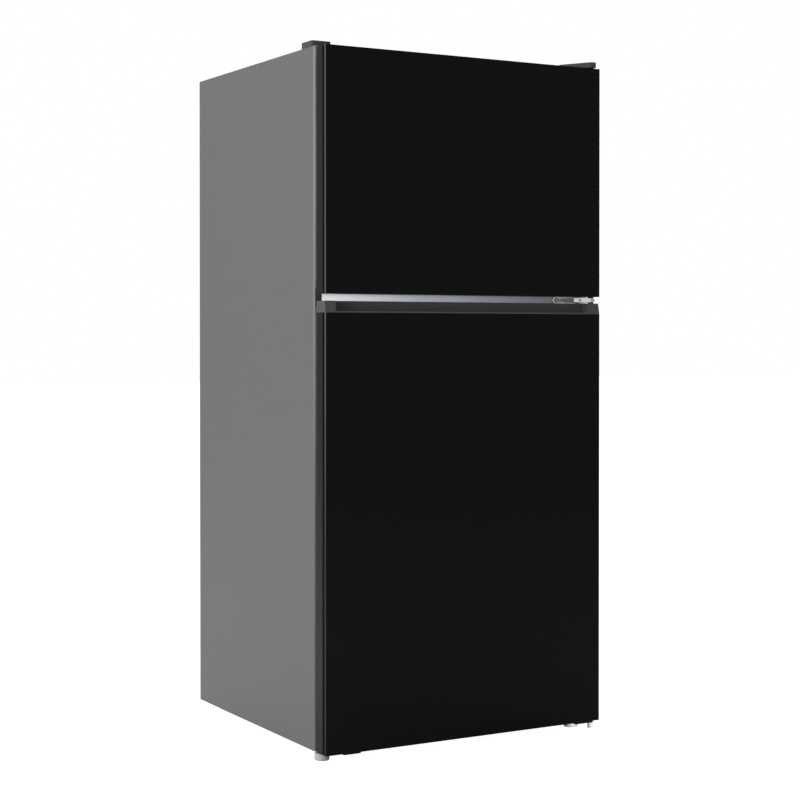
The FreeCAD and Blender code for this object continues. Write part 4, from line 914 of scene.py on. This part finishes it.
# %% Back panel with beads
panel_lo, panel_hi = corners("rear_panel")
mesh = bmesh.new()
mesh.faces.new([mesh.verts.new(spot) for spot in (
    (panel_lo.x, panel_hi.y, panel_lo.z), (panel_lo.x, panel_hi.y, panel_hi.z),
    (panel_hi.x, panel_hi.y, panel_hi.z), (panel_hi.x, panel_hi.y, panel_lo.z))])
bead_columns = [-0.27, -0.135, 0.0, 0.135, 0.27]
bead_rows = [(panel_lo.z + 0.07, 0.93), (1.00, panel_hi.z - 0.07)]
cuts = [((x + side * 0.020, 0, 0), (1, 0, 0)) for x in bead_columns for side in (-1, 1)]
cuts += [((0, 0, z), (0, 0, 1)) for pair in bead_rows for z in pair]
for point, normal in cuts:
    bmesh.ops.bisect_plane(mesh, geom=mesh.verts[:] + mesh.edges[:] + mesh.faces[:],
                           plane_co=point, plane_no=normal)
beads = [face for face in mesh.faces
         if any(abs(face.calc_center_median().x - x) < 0.010 for x in bead_columns)
         and any(low < face.calc_center_median().z < high for low, high in bead_rows)]
for bead in beads:
    bmesh.ops.inset_region(mesh, faces=[bead], thickness=0.010, depth=-0.003,
                           use_even_offset=True)
mesh.normal_update()
if sum(face.normal.y for face in mesh.faces) < 0:
    bmesh.ops.reverse_faces(mesh, faces=mesh.faces)
back = close_piece("back_panel", mesh, zinc_sheet, "cabinet", ["rear_panel"],
                   sharp=60)
thicken(back, 0.0009)

# %% [markdown]
# ## Temperature dial
# The knob is the frame's own turned piece. A scale of small bars round it shows the way
# from warm to cold: they grow longer, and nothing is written.

# %% Dial marks
MARK_REACH = 0.0137
knob_lo, knob_hi = corners("temperature_knob")
housing_lo = corners("control_housing")[0]
dial = Vector(((knob_lo.x + knob_hi.x) / 2, housing_lo.y, (knob_lo.z + knob_hi.z) / 2))
mesh = bmesh.new()
for step in range(7):
    start = len(mesh.verts)
    length = 0.0012 + 0.0003 * step
    block(mesh, (dial.x - 0.0005, dial.y - 0.0002, dial.z + MARK_REACH - length),
          (dial.x + 0.0005, dial.y + 0.0002, dial.z + MARK_REACH), 0.0001)
    mesh.verts.ensure_lookup_table()
    bmesh.ops.rotate(mesh, verts=mesh.verts[start:], cent=dial, space=Matrix.Identity(4),
                     matrix=Matrix.Rotation(math.radians(-60 + 20 * step), 3, "Y"))
close_piece("dial_marks", mesh, black_steel, "cabinet")

# %% [markdown]
# A pull-out ice tray stands in the freezer: a white moulded tray of twelve cups, made by
# insetting each square of a grid and pushing it down.

# %% Ice tray
mesh = bmesh.new()
tray_z = fz_low + 0.040
bmesh.ops.create_grid(mesh, x_segments=6, y_segments=2, size=0.5)
bmesh.ops.scale(mesh, vec=(0.250, 0.100, 1), verts=mesh.verts)
bmesh.ops.translate(mesh, vec=(-0.16, -0.04, tray_z), verts=mesh.verts)
cups = mesh.faces[:]
bmesh.ops.inset_individual(mesh, faces=cups, thickness=0.003)
bmesh.ops.inset_individual(mesh, faces=cups, thickness=0.006, depth=-0.026)
outer_edges = [edge for edge in mesh.edges if edge.is_boundary]
skirt = bmesh.ops.extrude_edge_only(mesh, edges=outer_edges)["geom"]
bmesh.ops.translate(mesh, vec=(0, 0, -0.008),
                    verts=[v for v in skirt if isinstance(v, bmesh.types.BMVert)])
bends = [e for e in mesh.edges if len(e.link_faces) == 2 and e.calc_face_angle(0) > 0.7]
round_off(mesh, bends, 0.0015, 2)
tray = close_piece("ice_tray", mesh, liner_white, "cabinet", sharp=60)
thicken(tray, 0.0015)

# %% [markdown]
# ## Cards for the metal
# Polished metal only looks bright when it mirrors something bright, so in a studio small
# white cards are held where the metal mirrors them. Ours are small area lights, and light
# linking lets each one reach only the pieces it is meant for. The first three are not
# shaded by the doors. The last one lifts the pull cap a little.

# %% White cards
def white_card(name, place, aim, size, power, nodes, pieces, shaded=False):
    """A small light that reaches only the nodes and pieces named."""
    card = soft_light(name, place, aim, size, power)
    catches = bpy.data.collections.new(name + "_catches")
    for node in nodes:
        catches.objects.link(NODES[node])
    for piece in pieces:
        catches.objects.link(bpy.data.objects[piece])
    card.light_linking.receiver_collection = catches
    if not shaded:
        card.light_linking.blocker_collection = catches


white_card("bar_card", (1.3, -3.9, 1.15), (0.0, -0.3, 1.06), (1.7, 1.4), 10,
           ["mullion_bar"], [])
white_card("hinge_card", (2.9, -3.9, 1.10), (0.33, -0.3, 1.06), (1.4, 1.2), 9,
           ["middle_hinge"], ["middle_hinge_boss", "hinge_screw_heads"])
white_card("foot_card", (0.5, -1.5, 0.05), (0.34, -0.3, 0.01), (0.5, 0.3), 12,
           [], ["lower_hinge_pin", "foot_right_moulding"])
white_card("cap_card", (-3.6, -1.9, 1.30), (0.1, -0.33, 1.04), (0.9, 0.9), 26,
           ["fridge_door_handle_cap"], [], shaded=True)

# %% [markdown]
# ## Foam
# The foam fills walls and doors and is never seen. Our formed sheets have rounder edges
# than the frame's, so the foam is drawn in a few millimetres by a Displace modifier.

# %% Draw the foam in
FOAM_GAP = 0.006
for name in ("insulation", "freezer_door_foam", "fridge_door_foam"):
    weld = NODES[name].modifiers.new("weld", "WELD")
    weld.merge_threshold = 0.00001
    draw_in = NODES[name].modifiers.new("draw_in", "DISPLACE")
    draw_in.strength = -FOAM_GAP
    draw_in.mid_level = 0
print("foam drawn in")

# %% [markdown]
# ## Floor
# The floor belongs to the studio, not to the object.

# %% Floor
floor_mesh = bmesh.new()
bmesh.ops.create_grid(floor_mesh, x_segments=1, y_segments=1, size=30)
floor_data = bpy.data.meshes.new("floor")
floor_mesh.to_mesh(floor_data)
floor_mesh.free()
floor = bpy.data.objects.new("floor", floor_data)
floor.location = (0, 0, -0.0005)
bpy.context.collection.objects.link(floor)
FLOOR_GLOW = 0.98
pale = grain(finish("pale_floor", (0.90, 0.90, 0.90), rough=0.9, specular=0.1, glow=FLOOR_GLOW),
             3, 0.0001, tone=0.004)
shader_of(pale).inputs["Emission Color"].default_value = (1, 1, 1, 1)
lit_for = add(pale, "ShaderNodeLightPath").outputs["Is Camera Ray"]
put(pale, shader_of(pale).inputs["Emission Strength"],
    maths(pale, "MULTIPLY", lit_for, FLOOR_GLOW))
floor_data.materials.append(pale)
